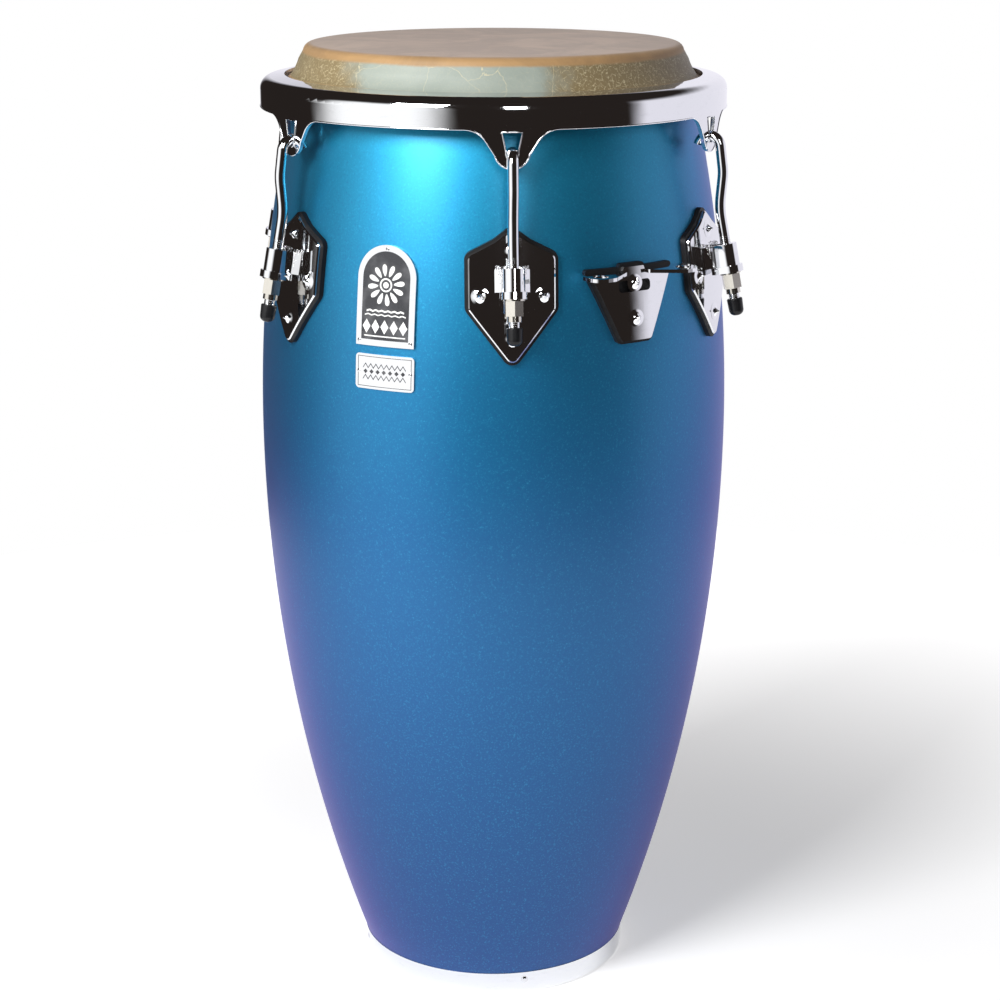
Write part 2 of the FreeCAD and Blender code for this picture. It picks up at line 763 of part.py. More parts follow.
def make_hoop():
    """Comfort hoop: a bent-over shoulder, an upright wall, and an ear with a keyhole slot at each lug."""
    fall, wall = "hoop_shoulder_fall", "hoop_wall"
    ring = turned("hoop_ring", [
        ("hoop_radius - hoop_wall", "hoop_edge"),
        ("hoop_radius", "hoop_edge"),
        ("hoop_radius", f"hoop_top - {fall}", "hoop_bend"),
        ("hoop_inner_radius", "hoop_top"),
        ("hoop_inner_radius", f"hoop_top - {wall}"),
        ("hoop_radius - hoop_wall", f"hoop_top - {fall} - {wall}", f"hoop_bend - {wall}"),
    ])
    wall_band = turned("ear_band", [
        ("hoop_radius - hoop_wall", "ear_tip - ear_overlap"),
        ("hoop_radius", "ear_tip - ear_overlap"),
        ("hoop_radius", "hoop_edge + ear_overlap"),
        ("hoop_radius - hoop_wall", "hoop_edge + ear_overlap"),
    ])
    root, waist, neck = "ear_root_width / 2", "ear_waist_width / 2", "ear_neck_width / 2"
    ear_outline = front_outline("ear_outline", [
        (f"0 - {root}", "hoop_edge + ear_overlap"),
        (f"0 - {root}", "hoop_edge", None, "ear_flank_bend"),
        (f"0 - {waist}", "ear_waist"),
        (f"0 - {neck}", "ear_neck", None, "~ear_tip_bend"),
        (neck, "ear_neck"),
        (waist, "ear_waist", None, "ear_flank_bend"),
        (root, "hoop_edge"),
        (root, "hoop_edge + ear_overlap"),
    ])
    top, narrow = "slot_top_width / 2", "slot_width / 2"
    slot_outline = front_outline("slot_outline", [
        (f"0 - {narrow}", "slot_floor", f"{narrow} - slot_floor_flat / 2"),
        (narrow, "slot_floor", f"{narrow} - slot_floor_flat / 2"),
        (narrow, "hoop_edge - slot_taper_depth"),
        (top, "hoop_edge - slot_top_depth"),
        (f"0 - {top}", "hoop_edge - slot_top_depth"),
        (f"0 - {narrow}", "hoop_edge - slot_taper_depth"),
    ])
    ear = boolean("Common", "ear_solid", prism("ear_prism", ear_outline), wall_band)
    ear = boolean("Cut", "ear", ear, prism("slot_prism", slot_outline))
    ears = [
        copy_of(ear, f"ear_{number + 1}", turn_to(azimuth))
        for number, azimuth in enumerate(lug_azimuths)
    ]
    document.recompute()
    node(boolean("MultiFuse", "tension_hoop", ring, *ears))


def make_hook():
    """J-hook: a bent rod from the cap, along its own tilt, out round its knee and over into the ear."""
    shoulder_height = "(crown_height - hook_shoulder_depth)"
    bend_height = "(crown_height - hook_bend)"
    start_reach = "(hook_crown_reach + hook_bend * cos(hook_splay))"
    start_height = f"({bend_height} + hook_bend * sin(hook_splay))"
    shoulder_reach = f"({start_reach} + ({start_height} - {shoulder_height}) * tan(hook_splay))"
    end_reach = "(rod_reach + rod_end * sin(rod_tilt))"
    end_height = "(clamp_height - rod_end * cos(rod_tilt))"
    tip_reach = "(hook_crown_reach - sqrt(hook_bend^2 - hook_tip_rise^2))"
    body = new_body("hook_blank")
    path = body_sketch(body, "hook_path", "XZ_Plane", [
        (end_reach, end_height),
        ("knee_reach", "knee_height", "knee_bend"),
        (shoulder_reach, shoulder_height, "shoulder_bend"),
        (start_reach, start_height, None, "~hook_bend"),
        ("hook_crown_reach", "crown_height", None, "~hook_bend"),
        (tip_reach, f"{bend_height} + hook_tip_rise"),
    ], closed=False)
    path.Visibility = False
    section = body_sketch(body, "hook_section", "XY_Plane")
    circle_in(section, "rod_radius")
    section.AttachmentOffset = Placement(
        Vector(size(end_reach), 0, size(end_height)), Rotation(Vector(0, 1, 0), -size("rod_tilt"))
    )
    document.recompute()
    pipe = body.newObject("PartDesign::AdditivePipe", "hook_pipe")
    pipe.Profile = section
    pipe.Spine = (path, [])
    pipe.Mode = "Standard"
    document.recompute()
    place_round(body, "tension_hook")


def make_lug():
    """What stands on a lug plate and on its rod: strap, seat, washer, nut and end cap."""
    plate_reach = "(rod_reach - belly_radius / 2)"
    foot = "strap_foot_width / 2"
    stand = f"((rod_reach - {upper_surface('clamp_height', 'plate_face')}) * cos(rod_tilt))"
    rise = f"({stand} - strap_foot_rise)"
    strap = new_body("strap_blank")
    section = body_sketch(strap, "strap_section", "XY_Plane", [
        ("0", "0 - strap_bend", None, "~strap_bend"),
        ("strap_bend", "0", None, "~strap_bend"),
        ("0", "strap_bend"),
        (f"0 - {rise}", "strap_bend"),
        (f"0 - {stand}", foot),
        (f"0 - {plate_reach}", foot),
        (f"0 - {plate_reach}", "strap_bore"),
        ("0", "strap_bore", None, "strap_bore"),
        ("strap_bore", "0", None, "strap_bore"),
        ("0", "0 - strap_bore"),
        (f"0 - {plate_reach}", "0 - strap_bore"),
        (f"0 - {plate_reach}", f"0 - {foot}"),
        (f"0 - {stand}", f"0 - {foot}"),
        (f"0 - {rise}", "0 - strap_bend"),
    ])
    pad(strap, "strap_pad", section, "strap_length", "0 - strap_drop")
    strap.Placement = rod_frame()
    document.recompute()
    low, high = "clamp_height - strap_trim", "clamp_height + strap_trim"
    inside = band("plate_inside", low, high, "0 - belly_radius / 2", "plate_face")
    place_round(boolean("Cut", "strap", strap, inside), "lug_strap")

    seat = new_body("seat_blank")
    half = "seat_width / 2"
    section = body_sketch(seat, "seat_section", "XY_Plane", [
        ("0 - seat_inward", f"0 - {half}", "seat_corner"),
        ("seat_outward", f"0 - {half}", "seat_nose_corner"),
        ("seat_outward", half, "seat_nose_corner"),
        ("0 - seat_inward", half, "seat_corner"),
    ])
    circle_in(section, "strap_bore")
    pad(seat, "seat_pad", section, "seat_thickness", "seat_base")
    seat.Placement = rod_frame()
    document.recompute()
    node(group("strap_seats", seat, [turn_to(azimuth) for azimuth in lug_azimuths]))

    washer = turned("seat_washer_blank", [
        ("strap_bore", "washer_base"),
        ("seat_washer_radius", "washer_base"),
        ("seat_washer_radius", "seat_base"),
        ("strap_bore", "seat_base"),
    ])
    washer.Placement = rod_frame()
    document.recompute()
    node(group("seat_washers", washer, [turn_to(azimuth) for azimuth in lug_azimuths]))

    bore = "rod_radius + run_clearance"
    nut = new_body("nut_blank")
    section = body_sketch(nut, "nut_section", "XY_Plane")
    hexagon(section, "nut_flats")
    circle_in(section, bore)
    pad(nut, "nut_pad", section, "nut_length", "nut_base")
    collar = body_sketch(nut, "nut_collar_section", "XY_Plane")
    circle_in(collar, "nut_collar_radius")
    circle_in(collar, bore)
    pad(nut, "nut_collar_pad", collar, "nut_collar_length", "nut_end")
    nut.Placement = rod_frame()
    document.recompute()
    place_round(nut, "tuning_nut")

    cap = turned("cap_blank", [
        ("0", "0 - rod_end"),
        ("rod_radius", "0 - rod_end"),
        ("rod_radius", "cap_top"),
        ("cap_radius", "cap_top", "cap_edge"),
        ("cap_radius - cap_draft", "cap_top - cap_length", "cap_nose"),
        ("0", "cap_top - cap_length"),
    ])
    cap.Placement = rod_frame()
    document.recompute()
    place_round(cap, "hook_cap")


def make_plates(bolt_holes):
    """Lug plates and the rubber gaskets behind them, both wrapped on the shell and drilled for the bolts."""
    half, rise = "plate_width / 2", "clamp_height + plate_shoulder"
    outline = front_outline("plate_outline", [
        ("0", "clamp_height - plate_point", "plate_corner"),
        (half, "clamp_height - plate_waist", "plate_corner"),
        (half, rise, "plate_corner"),
        ("plate_peak_half", "clamp_height + plate_peak * plate_peak_share", "plate_peak_bend"),
        ("0", "clamp_height + plate_peak", "plate_corner"),
        ("0 - plate_peak_half", "clamp_height + plate_peak * plate_peak_share", "plate_peak_bend"),
        (f"0 - {half}", rise, "plate_corner"),
        (f"0 - {half}", "clamp_height - plate_waist", "plate_corner"),
    ])
    low, high = "clamp_height - plate_point - trim_margin", "clamp_height + plate_peak + trim_margin"
    gasket_outline = widened("gasket_outline", outline, "gasket_margin")
    gasket = wrapped("gasket_sheet", gasket_outline, low, high, "0", "gasket_thickness")
    plate = wrapped("plate_sheet", outline, low, high, "gasket_thickness", "plate_face")
    plate = bevelled("plate_bevelled", plate, "plate_face")
    place_round(boolean("Cut", "gasket", gasket, bolt_holes), "lug_gasket")
    place_round(boolean("Cut", "plate", plate, bolt_holes), "lug_plate")


def bevelled(name, sheet_metal, face_offset):
    """Chamfer the edges round the outer face of a wrapped plate."""
    outer = max(sheet_metal.Shape.Faces, key=lambda face: face.Area if is_outer(face, face_offset) else 0)
    rim = outer.OuterWire.Edges
    width = size("plate_bevel")
    numbers = [
        number
        for number, edge in enumerate(sheet_metal.Shape.Edges, 1)
        if any(edge.isSame(other) for other in rim)
    ]
    feature = document.addObject("Part::Chamfer", name)
    feature.Base = sheet_metal
    feature.Edges = [(number, width, width) for number in numbers]
    document.recompute()
    return feature


def is_outer(face, offset):
    """Tell whether a face lies on the shell's surface moved outward by an offset."""
    middle = face.CenterOfMass
    point = face.valueAt(*face.Surface.parameter(middle))
    radius = math.hypot(point.x, point.y)
    return abs(radius - size(upper_surface(str(point.z), offset))) < 0.05


def make_bolts():
    """Carriage bolts with domed heads, and a washer and nut on each inside the shell."""
    stack = "(shell_wall + bolt_washer_sag + bolt_washer_standoff + bolt_washer_thickness)"
    bolt = make_fastener("carriage_bolt", [
        (f"0 - {stack} - bolt_nut_height - bolt_tail", "0"),
        (f"0 - {stack} - bolt_nut_height - bolt_tail", "bolt_radius"),
        ("plate_face", "bolt_radius"),
        *dome("plate_face", "bolt_head_radius", "bolt_head_height"),
    ])
    washer = make_fastener("bolt_washer", [
        (f"0 - {stack}", "bolt_radius"),
        (f"0 - {stack}", "bolt_washer_radius"),
        (f"0 - {stack} + bolt_washer_thickness", "bolt_washer_radius"),
        (f"0 - {stack} + bolt_washer_thickness", "bolt_radius"),
    ])
    nut_start = f"0 - {stack} - bolt_nut_height"
    nut = hex_nut("bolt_nut", "bolt_nut_flats", "bolt_nut_height", "bolt_radius", nut_start)
    spots = bolt_spots() + bracket_spots()
    node(group("plate_bolts", bolt, bolt_spots()))
    node(group("bracket_bolts", bolt, bracket_spots()))
    node(group("bolt_washers", washer, spots))
    node(group("bolt_nuts", nut, spots))


def drill_at(name, spots, radius, length):
    """Make a set of drills that run both ways through the shell's face."""
    drill = document.addObject("Part::Cylinder", name + "_drill")
    bind(drill, Radius=radius, Height=length)
    drill.Placement = Placement(Vector(-size(length) / 2, 0, 0), Rotation(Vector(0, 1, 0), 90))
    document.recompute()
    return group(name, drill, spots)


def make_pins(label, spots, stand):
    """Make round-headed pins that hold a badge."""
    pin = make_fastener(label + "_blank", [
        ("0 - pin_depth", "0"),
        ("0 - pin_depth", "pin_radius / 2"),
        (stand, "pin_radius / 2"),
        *dome(stand, "pin_radius", "pin_head_height"),
    ])
    node(group(label, pin, spots))


def arched(name, base, top, half):
    """Draw an outline with a round arch at the top."""
    spring = f"({top}) - ({half})"
    return front_outline(name, [
        (f"0 - ({half})", base),
        (half, base),
        (half, spring, None, f"~{half}"),
        ("0", top, None, f"~{half}"),
        (f"0 - ({half})", spring),
    ])


def make_badges(badge_holes, name_holes):
    """Arched badge with a bright border and a dark panel, and the name plate below it."""
    base, top = "badge_base", "badge_base + badge_height"
    azimuth = size("badge_azimuth")
    low, high = "badge_base - trim_margin", "badge_base + badge_height + trim_margin"
    outline = arched("badge_outline", base, top, "badge_width / 2")
    panel = arched("panel_outline", f"{base} + badge_border", f"{top} - badge_border",
                   "badge_width / 2 - badge_border")
    floor = "badge_thickness - badge_recess"
    plate = wrapped("badge_sheet", outline, low, high, "0", "badge_thickness")
    recess = wrapped("badge_recess_sheet", panel, low, high, floor, "badge_thickness + 1")
    plate = boolean("Cut", "badge_recessed", plate, recess)
    place(boolean("Cut", "badge_drilled", plate, badge_holes), "badge_plate", azimuth)
    panel_sheet = wrapped("panel_sheet", panel, low, high, floor, "badge_thickness - badge_panel_sink")
    place(boolean("Cut", "panel_drilled", panel_sheet, badge_holes), "badge_panel", azimuth)

    half, base, top = "name_width / 2", "name_base", "name_base + name_height"
    outline = front_outline("name_outline", [
        (f"0 - {half}", base, "name_corner"),
        (half, base, "name_corner"),
        (half, top, "name_corner"),
        (f"0 - {half}", top, "name_corner"),
    ])
    low, high = "name_base - trim_margin", "name_base + name_height + trim_margin"
    plate = wrapped("name_sheet", outline, low, high, "0", "name_thickness")
    place(boolean("Cut", "name_drilled", plate, name_holes), "name_plate", azimuth)


def make_bracket(bolt_holes):
    """Side bracket: a tapered plate with a tongue, a slot, and a level wing with a hole on each side."""
    azimuth = size("bracket_azimuth")
    top, foot, tongue = "bracket_top_width / 2", "bracket_foot_width / 2", "tongue_width / 2"
    outline = front_outline("bracket_outline", [
        (f"0 - {foot}", "bracket_foot", "bracket_corner"),
        (foot, "bracket_foot", "bracket_corner"),
        (top, "bracket_top"),
        (tongue, "bracket_top"),
        (f"{tongue} - tongue_corner", "bracket_top + tongue_rise"),
        (f"tongue_corner - {tongue}", "bracket_top + tongue_rise"),
        (f"0 - {tongue}", "bracket_top"),
        (f"0 - {top}", "bracket_top"),
    ])
    low, high = "bracket_foot - trim_margin", "bracket_top + tongue_rise + trim_margin"
    plate = wrapped("bracket_sheet", outline, low, high, "gasket_thickness", "plate_face")
    gasket_outline = widened("bracket_gasket_outline", outline, "gasket_margin")
    gasket = wrapped("bracket_gasket_sheet", gasket_outline, low, high, "0", "gasket_thickness")
    place(boolean("Cut", "bracket_gasket_drilled", gasket, bolt_holes), "bracket_gasket", azimuth)
    rim = "(wing_hole_radius + wing_rim)"
    spread = "(wing_hole_spread / 2)"
    wings = []
    for side, sign in (("left", "0 - "), ("right", "")):
        wing = new_body(side + "_wing")
        root = f"({upper_surface('bracket_top', 'gasket_thickness')} - wing_root_sink)"
        corners = [
            (root, f"{sign}{tongue}"),
            ("bracket_reach + wing_step", f"{sign}{tongue}", "bracket_corner"),
            (f"wing_hole_reach + {rim}", f"{sign}({spread} - wing_taper)", "wing_soft_corner"),
            (f"wing_hole_reach + {rim}", f"{sign}({spread} + {rim})", "wing_tight_corner"),
            (f"wing_hole_reach - {rim}", f"{sign}({spread} + {rim})", "wing_soft_corner"),
            (f"{root} - wing_root_back", f"{sign}({top} - wing_end_inset)"),
        ]
        section = body_sketch(wing, side + "_wing_section", "XY_Plane", corners)
        circle_in(section, "wing_hole_radius", "wing_hole_reach", f"{sign}{spread}")
        pad(wing, side + "_wing_pad", section, "plate_thickness", "bracket_top - plate_thickness")
        inside = band(side + "_wing_inside", low, high, "0 - belly_radius / 2", "gasket_thickness")
        wings.append(boolean("Cut", side + "_wing_trimmed", wing, inside))
    whole = boolean("MultiFuse", "bracket_blank", plate, *wings)
    slot_half, slot_rise = "bracket_slot_width / 2", "bracket_slot_height / 2"
    slot = front_outline("bracket_slot", [
        (f"0 - {slot_half}", f"bracket_slot_z - {slot_rise}", "bracket_slot_corner"),
        (slot_half, f"bracket_slot_z - {slot_rise}", "bracket_slot_corner"),
        (slot_half, f"bracket_slot_z + {slot_rise}", "bracket_slot_corner"),
        (f"0 - {slot_half}", f"bracket_slot_z + {slot_rise}", "bracket_slot_corner"),
    ])
    whole = boolean("Cut", "bracket_slotted", whole, prism("bracket_slot_prism", slot))
    place(boolean("Cut", "bracket_drilled", whole, bolt_holes), "side_bracket", azimuth)


def undo_turn(spots, azimuth):
    """Return frames as they lie before a piece is turned to its azimuth."""
    return [turn_to(azimuth).inverse() * spot for spot in spots]


def check(document):
    """Stop if any object failed or any sub-part has no sound shape."""
    for item in document.Objects:
        if "Invalid" in item.State or "Error" in item.State:
            raise RuntimeError(f"{item.Name} failed: {item.State}")
    for item in nodes:
        if item.Shape.isNull() or not item.Shape.isValid() or item.Shape.Volume <= 0:
            raise RuntimeError(f"{item.Label} has no sound shape")


document = FreeCAD.newDocument("conga_drum")
sheet = document.addObject("Spreadsheet::Sheet", SHEET)
for row, (alias, value) in enumerate(DIMENSIONS.items(), start=1):
    sheet.set(f"A{row}", alias)
    sheet.set(f"B{row}", str(value))
    sheet.setAlias(f"B{row}", alias)
document.recompute()

nodes = []
lug_azimuths = [number * 360.0 / LUGS for number in range(LUGS)]
through = "(shell_wall + plate_face) * 3"
hole = "bolt_radius + bolt_hole_clearance"
all_bolts = bolt_spots() + bracket_spots()
pin_spots = badge_pin_spots() + name_pin_spots()

screw_holes = make_foot_ring()
bolt_holes = drill_at("bolt_holes", all_bolts, hole, through)
pin_holes = drill_at("pin_holes", pin_spots, "pin_radius / 2", "pin_depth * 2")
holes = document.addObject("Part::Compound", "shell_holes")
holes.Links = [bolt_holes, pin_holes, screw_holes]
document.recompute()
make_shell(holes)
make_skin()
make_hoop()
make_hook()
make_lug()
lug_holes = drill_at("lug_holes", undo_turn(bolt_spots()[:4], 0), hole, through)
make_plates(lug_holes)
make_bolts()
azimuth = size("badge_azimuth")
badge_spots = undo_turn(badge_pin_spots(), azimuth)
badge_holes = drill_at("badge_holes", badge_spots, "pin_radius / 2", "pin_depth * 2")
name_holes = drill_at("name_holes", undo_turn(name_pin_spots(), azimuth), "pin_radius / 2", "pin_depth * 2")
make_badges(badge_holes, name_holes)
make_pins("badge_pins", badge_pin_spots(), "badge_thickness")
make_pins("name_plate_pins", name_pin_spots(), "name_thickness")
azimuth = size("bracket_azimuth")
bracket_holes = drill_at("bracket_holes", undo_turn(bracket_spots(), azimuth), hole, through)
make_bracket(bracket_holes)

document.recompute()
check(document)
os.makedirs("parts", exist_ok=True)
for item in nodes:
    item.Shape.exportStep(os.path.join("parts", item.Label + ".step"))
print(len(nodes), "sub-parts written")
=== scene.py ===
"""Looks of a conga drum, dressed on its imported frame.

Everything is in metres with +Z up, and the front lug faces -Y. A piece is drawn with its outward
direction along +X and is then turned about Z to its azimuth, which is 0 at the front and grows to +X.
"""

import logging
import math
from dataclasses import dataclass
from enum import Enum
from typing import Any, Callable, Iterable, Sequence

import bmesh
import bpy
from mathutils import Matrix, Vector


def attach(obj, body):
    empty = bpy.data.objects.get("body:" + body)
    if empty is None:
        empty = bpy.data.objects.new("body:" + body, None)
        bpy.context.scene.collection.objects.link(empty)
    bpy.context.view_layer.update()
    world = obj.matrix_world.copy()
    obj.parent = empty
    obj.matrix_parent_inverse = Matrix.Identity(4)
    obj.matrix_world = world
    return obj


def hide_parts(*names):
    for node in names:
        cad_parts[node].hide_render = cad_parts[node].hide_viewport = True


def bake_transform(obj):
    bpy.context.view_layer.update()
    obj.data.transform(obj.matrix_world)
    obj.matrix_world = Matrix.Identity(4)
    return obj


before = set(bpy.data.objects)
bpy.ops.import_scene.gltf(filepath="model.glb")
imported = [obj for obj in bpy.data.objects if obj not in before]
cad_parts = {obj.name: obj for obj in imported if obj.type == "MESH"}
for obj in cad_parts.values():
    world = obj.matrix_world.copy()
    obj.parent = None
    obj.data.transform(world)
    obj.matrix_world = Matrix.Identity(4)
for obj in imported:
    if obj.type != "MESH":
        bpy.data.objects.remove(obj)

log = logging.getLogger("conga")

MM = 0.001
LUGS = 6

Colour = tuple[float, float, float, float]
Point = tuple[float, float]
Operand = Any


def grey(level: float) -> Colour:
    """Return a neutral colour."""
    return (level, level, level, 1.0)


def turn_to(azimuth: float) -> Matrix:
    """Return the turn about Z that takes +X to an azimuth in degrees."""
    return Matrix.Rotation(math.radians(azimuth - 90), 4, "Z")


def lug_azimuths() -> list[float]:
    """Return the azimuth of each lug in degrees."""
    return [number * 360.0 / LUGS for number in range(LUGS)]


# Node trees ------------------------------------------------------------------------------------


class Value:
    """A socket of a node tree, on which arithmetic adds Math nodes."""

    def __init__(self, graph: "Graph", socket: bpy.types.NodeSocket) -> None:
        """Wrap an output socket of a graph's tree."""
        self.graph = graph
        self.socket = socket

    def maths(self, operation: str, *operands: Operand) -> "Value":
        """Add one Math node.

        Args:
            operation: the Math node's operation.
            operands: its inputs in order, numbers or values.

        Returns:
            The node's result.
        """
        return self.graph.node("ShaderNodeMath", {"operation": operation}, dict(enumerate(operands)))

    def __add__(self, other: Operand) -> "Value":
        """Return self + other."""
        return self.maths("ADD", self, other)

    __radd__ = __add__

    def __sub__(self, other: Operand) -> "Value":
        """Return self - other."""
        return self.maths("SUBTRACT", self, other)

    def __rsub__(self, other: Operand) -> "Value":
        """Return other - self."""
        return self.maths("SUBTRACT", other, self)

    def __mul__(self, other: Operand) -> "Value":
        """Return self * other."""
        return self.maths("MULTIPLY", self, other)

    __rmul__ = __mul__

    def __pow__(self, other: Operand) -> "Value":
        """Return self raised to other."""
        return self.maths("POWER", self, other)

    def floor(self) -> "Value":
        """Return the whole part."""
        return self.maths("FLOOR", self)

    def fraction(self) -> "Value":
        """Return the part after the point."""
        return self.maths("FRACT", self)

    def distance(self, level: float) -> "Value":
        """Return how far the value is from a level."""
        return self.maths("ABSOLUTE", self - level)

    def over(self, low: float, high: float) -> "Value":
        """Return 0 below low, 1 above high and a smooth step between; swapped limits turn it round."""
        return self.graph.node(
            "ShaderNodeMapRange",
            {"interpolation_type": "SMOOTHSTEP"},
            {"Value": self, "From Min": low, "From Max": high, "To Min": 0.0, "To Max": 1.0},
        )


class Graph:
    """Builds a node tree, for a material, the world or geometry."""

    def __init__(self, tree: bpy.types.NodeTree) -> None:
        """Start on an empty tree."""
        self.tree = tree

    def add(self, kind: str, settings: dict[str, Any] | None = None,
            inputs: dict[int | str, Operand] | None = None) -> bpy.types.Node:
        """Add a node.

        Args:
            kind: the node's type.
            settings: its properties, which are set first; "stops" are a colour ramp's.
            inputs: constants or values, by the input's name or number.

        Returns:
            The node.
        """
        made = self.tree.nodes.new(kind)
        for name, setting in (settings or {}).items():
            if name == "stops":
                self.set_stops(made.color_ramp, setting)
            else:
                setattr(made, name, setting)
        for key, given in (inputs or {}).items():
            socket = made.inputs[key]
            if isinstance(given, Value):
                self.tree.links.new(given.socket, socket)
            else:
                socket.default_value = given
        return made

    @staticmethod
    def set_stops(ramp: bpy.types.ColorRamp, stops: Sequence[tuple[float, Colour]]) -> None:
        """Give a colour ramp its stops."""
        for extra in range(len(stops) - 2):
            ramp.elements.new((extra + 1) / len(stops))
        for element, (position, colour) in zip(ramp.elements, stops):
            element.position = position
            element.color = colour

    def out(self, made: bpy.types.Node, key: int | str = 0) -> Value:
        """Return one of a node's outputs."""
        return Value(self, made.outputs[key])

    def node(self, kind: str, settings: dict[str, Any] | None = None,
             inputs: dict[int | str, Operand] | None = None, output: int | str = 0) -> Value:
        """Add a node and return one of its outputs; the arguments are those of add and out."""
        return self.out(self.add(kind, settings, inputs), output)

    def place(self) -> Value:
        """Return the point on the piece, in the frame that it is drawn in."""
        return self.node("ShaderNodeTexCoord", output="Object")

    def axes(self, point: Value) -> tuple[Value, Value, Value]:
        """Return a point's three coordinates."""
        split = self.add("ShaderNodeSeparateXYZ", inputs={0: point})
        return self.out(split, 0), self.out(split, 1), self.out(split, 2)

    def stretched(self, point: Value, scale: tuple[float, float, float]) -> Value:
        """Return a point with each coordinate multiplied."""
        return self.node("ShaderNodeVectorMath", {"operation": "MULTIPLY"}, {0: point, 1: scale})

    def noise(self, point: Value, scale: float, detail: float = 4.0, roughness: float = 0.5,
              distortion: float = 0.0) -> Value:
        """Return cloudy noise from 0 to 1, with the settings of the noise texture."""
        return self.node("ShaderNodeTexNoise", None, {
            "Vector": point, "Scale": scale, "Detail": detail,
            "Roughness": roughness, "Distortion": distortion,
        })

    def cracks(self, point: Value, scale: float) -> Value:
        """Return the distance to the edge of the nearest cell."""
        return self.node(
            "ShaderNodeTexVoronoi", {"feature": "DISTANCE_TO_EDGE"}, {"Vector": point, "Scale": scale}
        )

    def ramp(self, value: Value, stops: Sequence[tuple[float, Colour]]) -> Value:
        """Return the colour that a ramp gives a value."""
        return self.node("ShaderNodeValToRGB", {"stops": stops}, {0: value})

    def mixed(self, share: Operand, first: Operand, second: Operand) -> Value:
        """Return the first colour at share 0, and the second at share 1."""
        return self.node("ShaderNodeMix", {"data_type": "RGBA"}, {0: share, 6: first, 7: second}, 2)

    def bump(self, height: Value, strength: float, distance: float) -> Value:
        """Return the normal of a surface with a height laid over it."""
        return self.node("ShaderNodeBump", None, {
            "Strength": strength, "Distance": distance, "Height": height,
        })


# Finishes --------------------------------------------------------------------------------------


@dataclass(frozen=True)
class Finish:
    """A surface finish. Each kind paints one Principled shader."""

    name: str

    def surface(self, graph: Graph) -> dict[str, Operand]:
        """Return the shader's inputs by name.

        Args:
            graph: the graph of the material.

        Returns:
            The shader's inputs by name.
        """
        raise NotImplementedError

    def make(self) -> bpy.types.Material:
        """Return the finish as a material.

        Returns:
            A material with one Principled shader.
        """
        material = bpy.data.materials.new(self.name)
        material.use_nodes = True
        material.node_tree.nodes.clear()
        graph = Graph(material.node_tree)
        shader = graph.node("ShaderNodeBsdfPrincipled", None, self.surface(graph))
        graph.add("ShaderNodeOutputMaterial", None, {"Surface": shader})
        return material


@dataclass(frozen=True)
class ShiftPaint(Finish):
    """Satin metallic paint with flop pigment, violet sheen at a glancing angle, over a blue-green to blue
    base colour painted with light and shade: lit teal at the top, shaded blue lower down.
    """

    # The three colours paint light and shade by height: the top colour is a painted highlight from the key
    # light above, and the lower two are darker painted shade.
    top: Colour = (0.008, 0.27, 0.45, 1.0)
    middle: Colour = (0.006, 0.120, 0.30, 1.0)
    shaded_bottom: Colour = (0.016, 0.080, 0.235, 1.0)
    edge_tint: Colour = (0.62, 0.36, 0.86, 1.0)
    flake_scale: float = 620.0

    def surface(self, graph: Graph) -> dict[str, Operand]:
        """Return the paint's inputs: painted light and shade down the barrel, lit teal at the top and shaded
        blue lower down, with slow clouding and fine flake.

        Args:
            graph: the graph of the material.

        Returns:
            The shader's inputs by name.
        """
        point = graph.place()
        _, _, height = graph.axes(point)
        cloud = graph.noise(point, 5.0, 3.0)
        flake = graph.noise(point, self.flake_scale, 4.0, 0.8)
        level = height + (cloud - 0.5) * 0.10
        # Painted light and shade: the base colour is darker blue low on the barrel and lit teal near the
        # head.
        body = graph.ramp(level, [(0.04, self.shaded_bottom), (0.42, self.middle), (0.72, self.top)])
        bright = graph.mixed(flake.over(0.52, 0.72) * 0.32, body, (0.05, 0.50, 0.80, 1.0))
        dusk = graph.mixed(flake.over(0.48, 0.28) * 0.38, bright, (0.02, 0.06, 0.26, 1.0))
        return {
            "Base Color": dusk,
            "Metallic": 0.90,
            "Roughness": flake * 0.16 + 0.40,
            "Specular Tint": self.edge_tint,
            "Sheen Weight": 0.11,
            "Sheen Roughness": 0.50,
            "Sheen Tint": (0.48, 0.32, 0.66, 1.0),
            "Coat Weight": 0.32,
            "Coat Roughness": 0.32,
            "Coat IOR": 1.6,
            "Normal": graph.bump(flake, 0.10, 0.0004),
        }


@dataclass(frozen=True)
class BareWood(Finish):
    """Unpainted hardwood staves inside the shell, each with its own tone and a dark glue line."""

    pale: Colour = (0.52, 0.34, 0.18, 1.0)
    dark: Colour = (0.30, 0.17, 0.08, 1.0)
    staves: int = 24
    first_line: float = 3.75

    def surface(self, graph: Graph) -> dict[str, Operand]:
        """Return the wood's inputs: grain that runs up the staves.

        Args:
            graph: the graph of the material.

        Returns:
            The shader's inputs by name.
        """
        point = graph.place()
        across, along, _ = graph.axes(point)
        turn = across.maths("ARCTAN2", along, across)
        stave = turn * (self.staves / math.tau) + self.staves + (90 - self.first_line) / 360 * self.staves
        tone = graph.node("ShaderNodeTexWhiteNoise", {"noise_dimensions": "1D"}, {"W": stave.floor()})
        fibre = graph.noise(graph.stretched(point, (1.0, 1.0, 0.05)), 260.0, 6.0, 0.6)
        figure = graph.noise(graph.stretched(point, (1.0, 1.0, 0.12)), 30.0, 4.0, 0.5, 0.6)
        glue = stave.fraction().distance(0.5).over(0.485, 0.497)
        base = graph.mixed(fibre * 0.6 + figure * 0.4, self.pale, self.dark)
        toned = graph.mixed(tone * 0.35, base, self.dark)
        return {
            "Base Color": graph.mixed(glue * 0.8, toned, (0.10, 0.05, 0.02, 1.0)),
            "Roughness": fibre * 0.2 + 0.55,
            "Normal": graph.bump(fibre - glue, 0.25, 0.0006),
        }


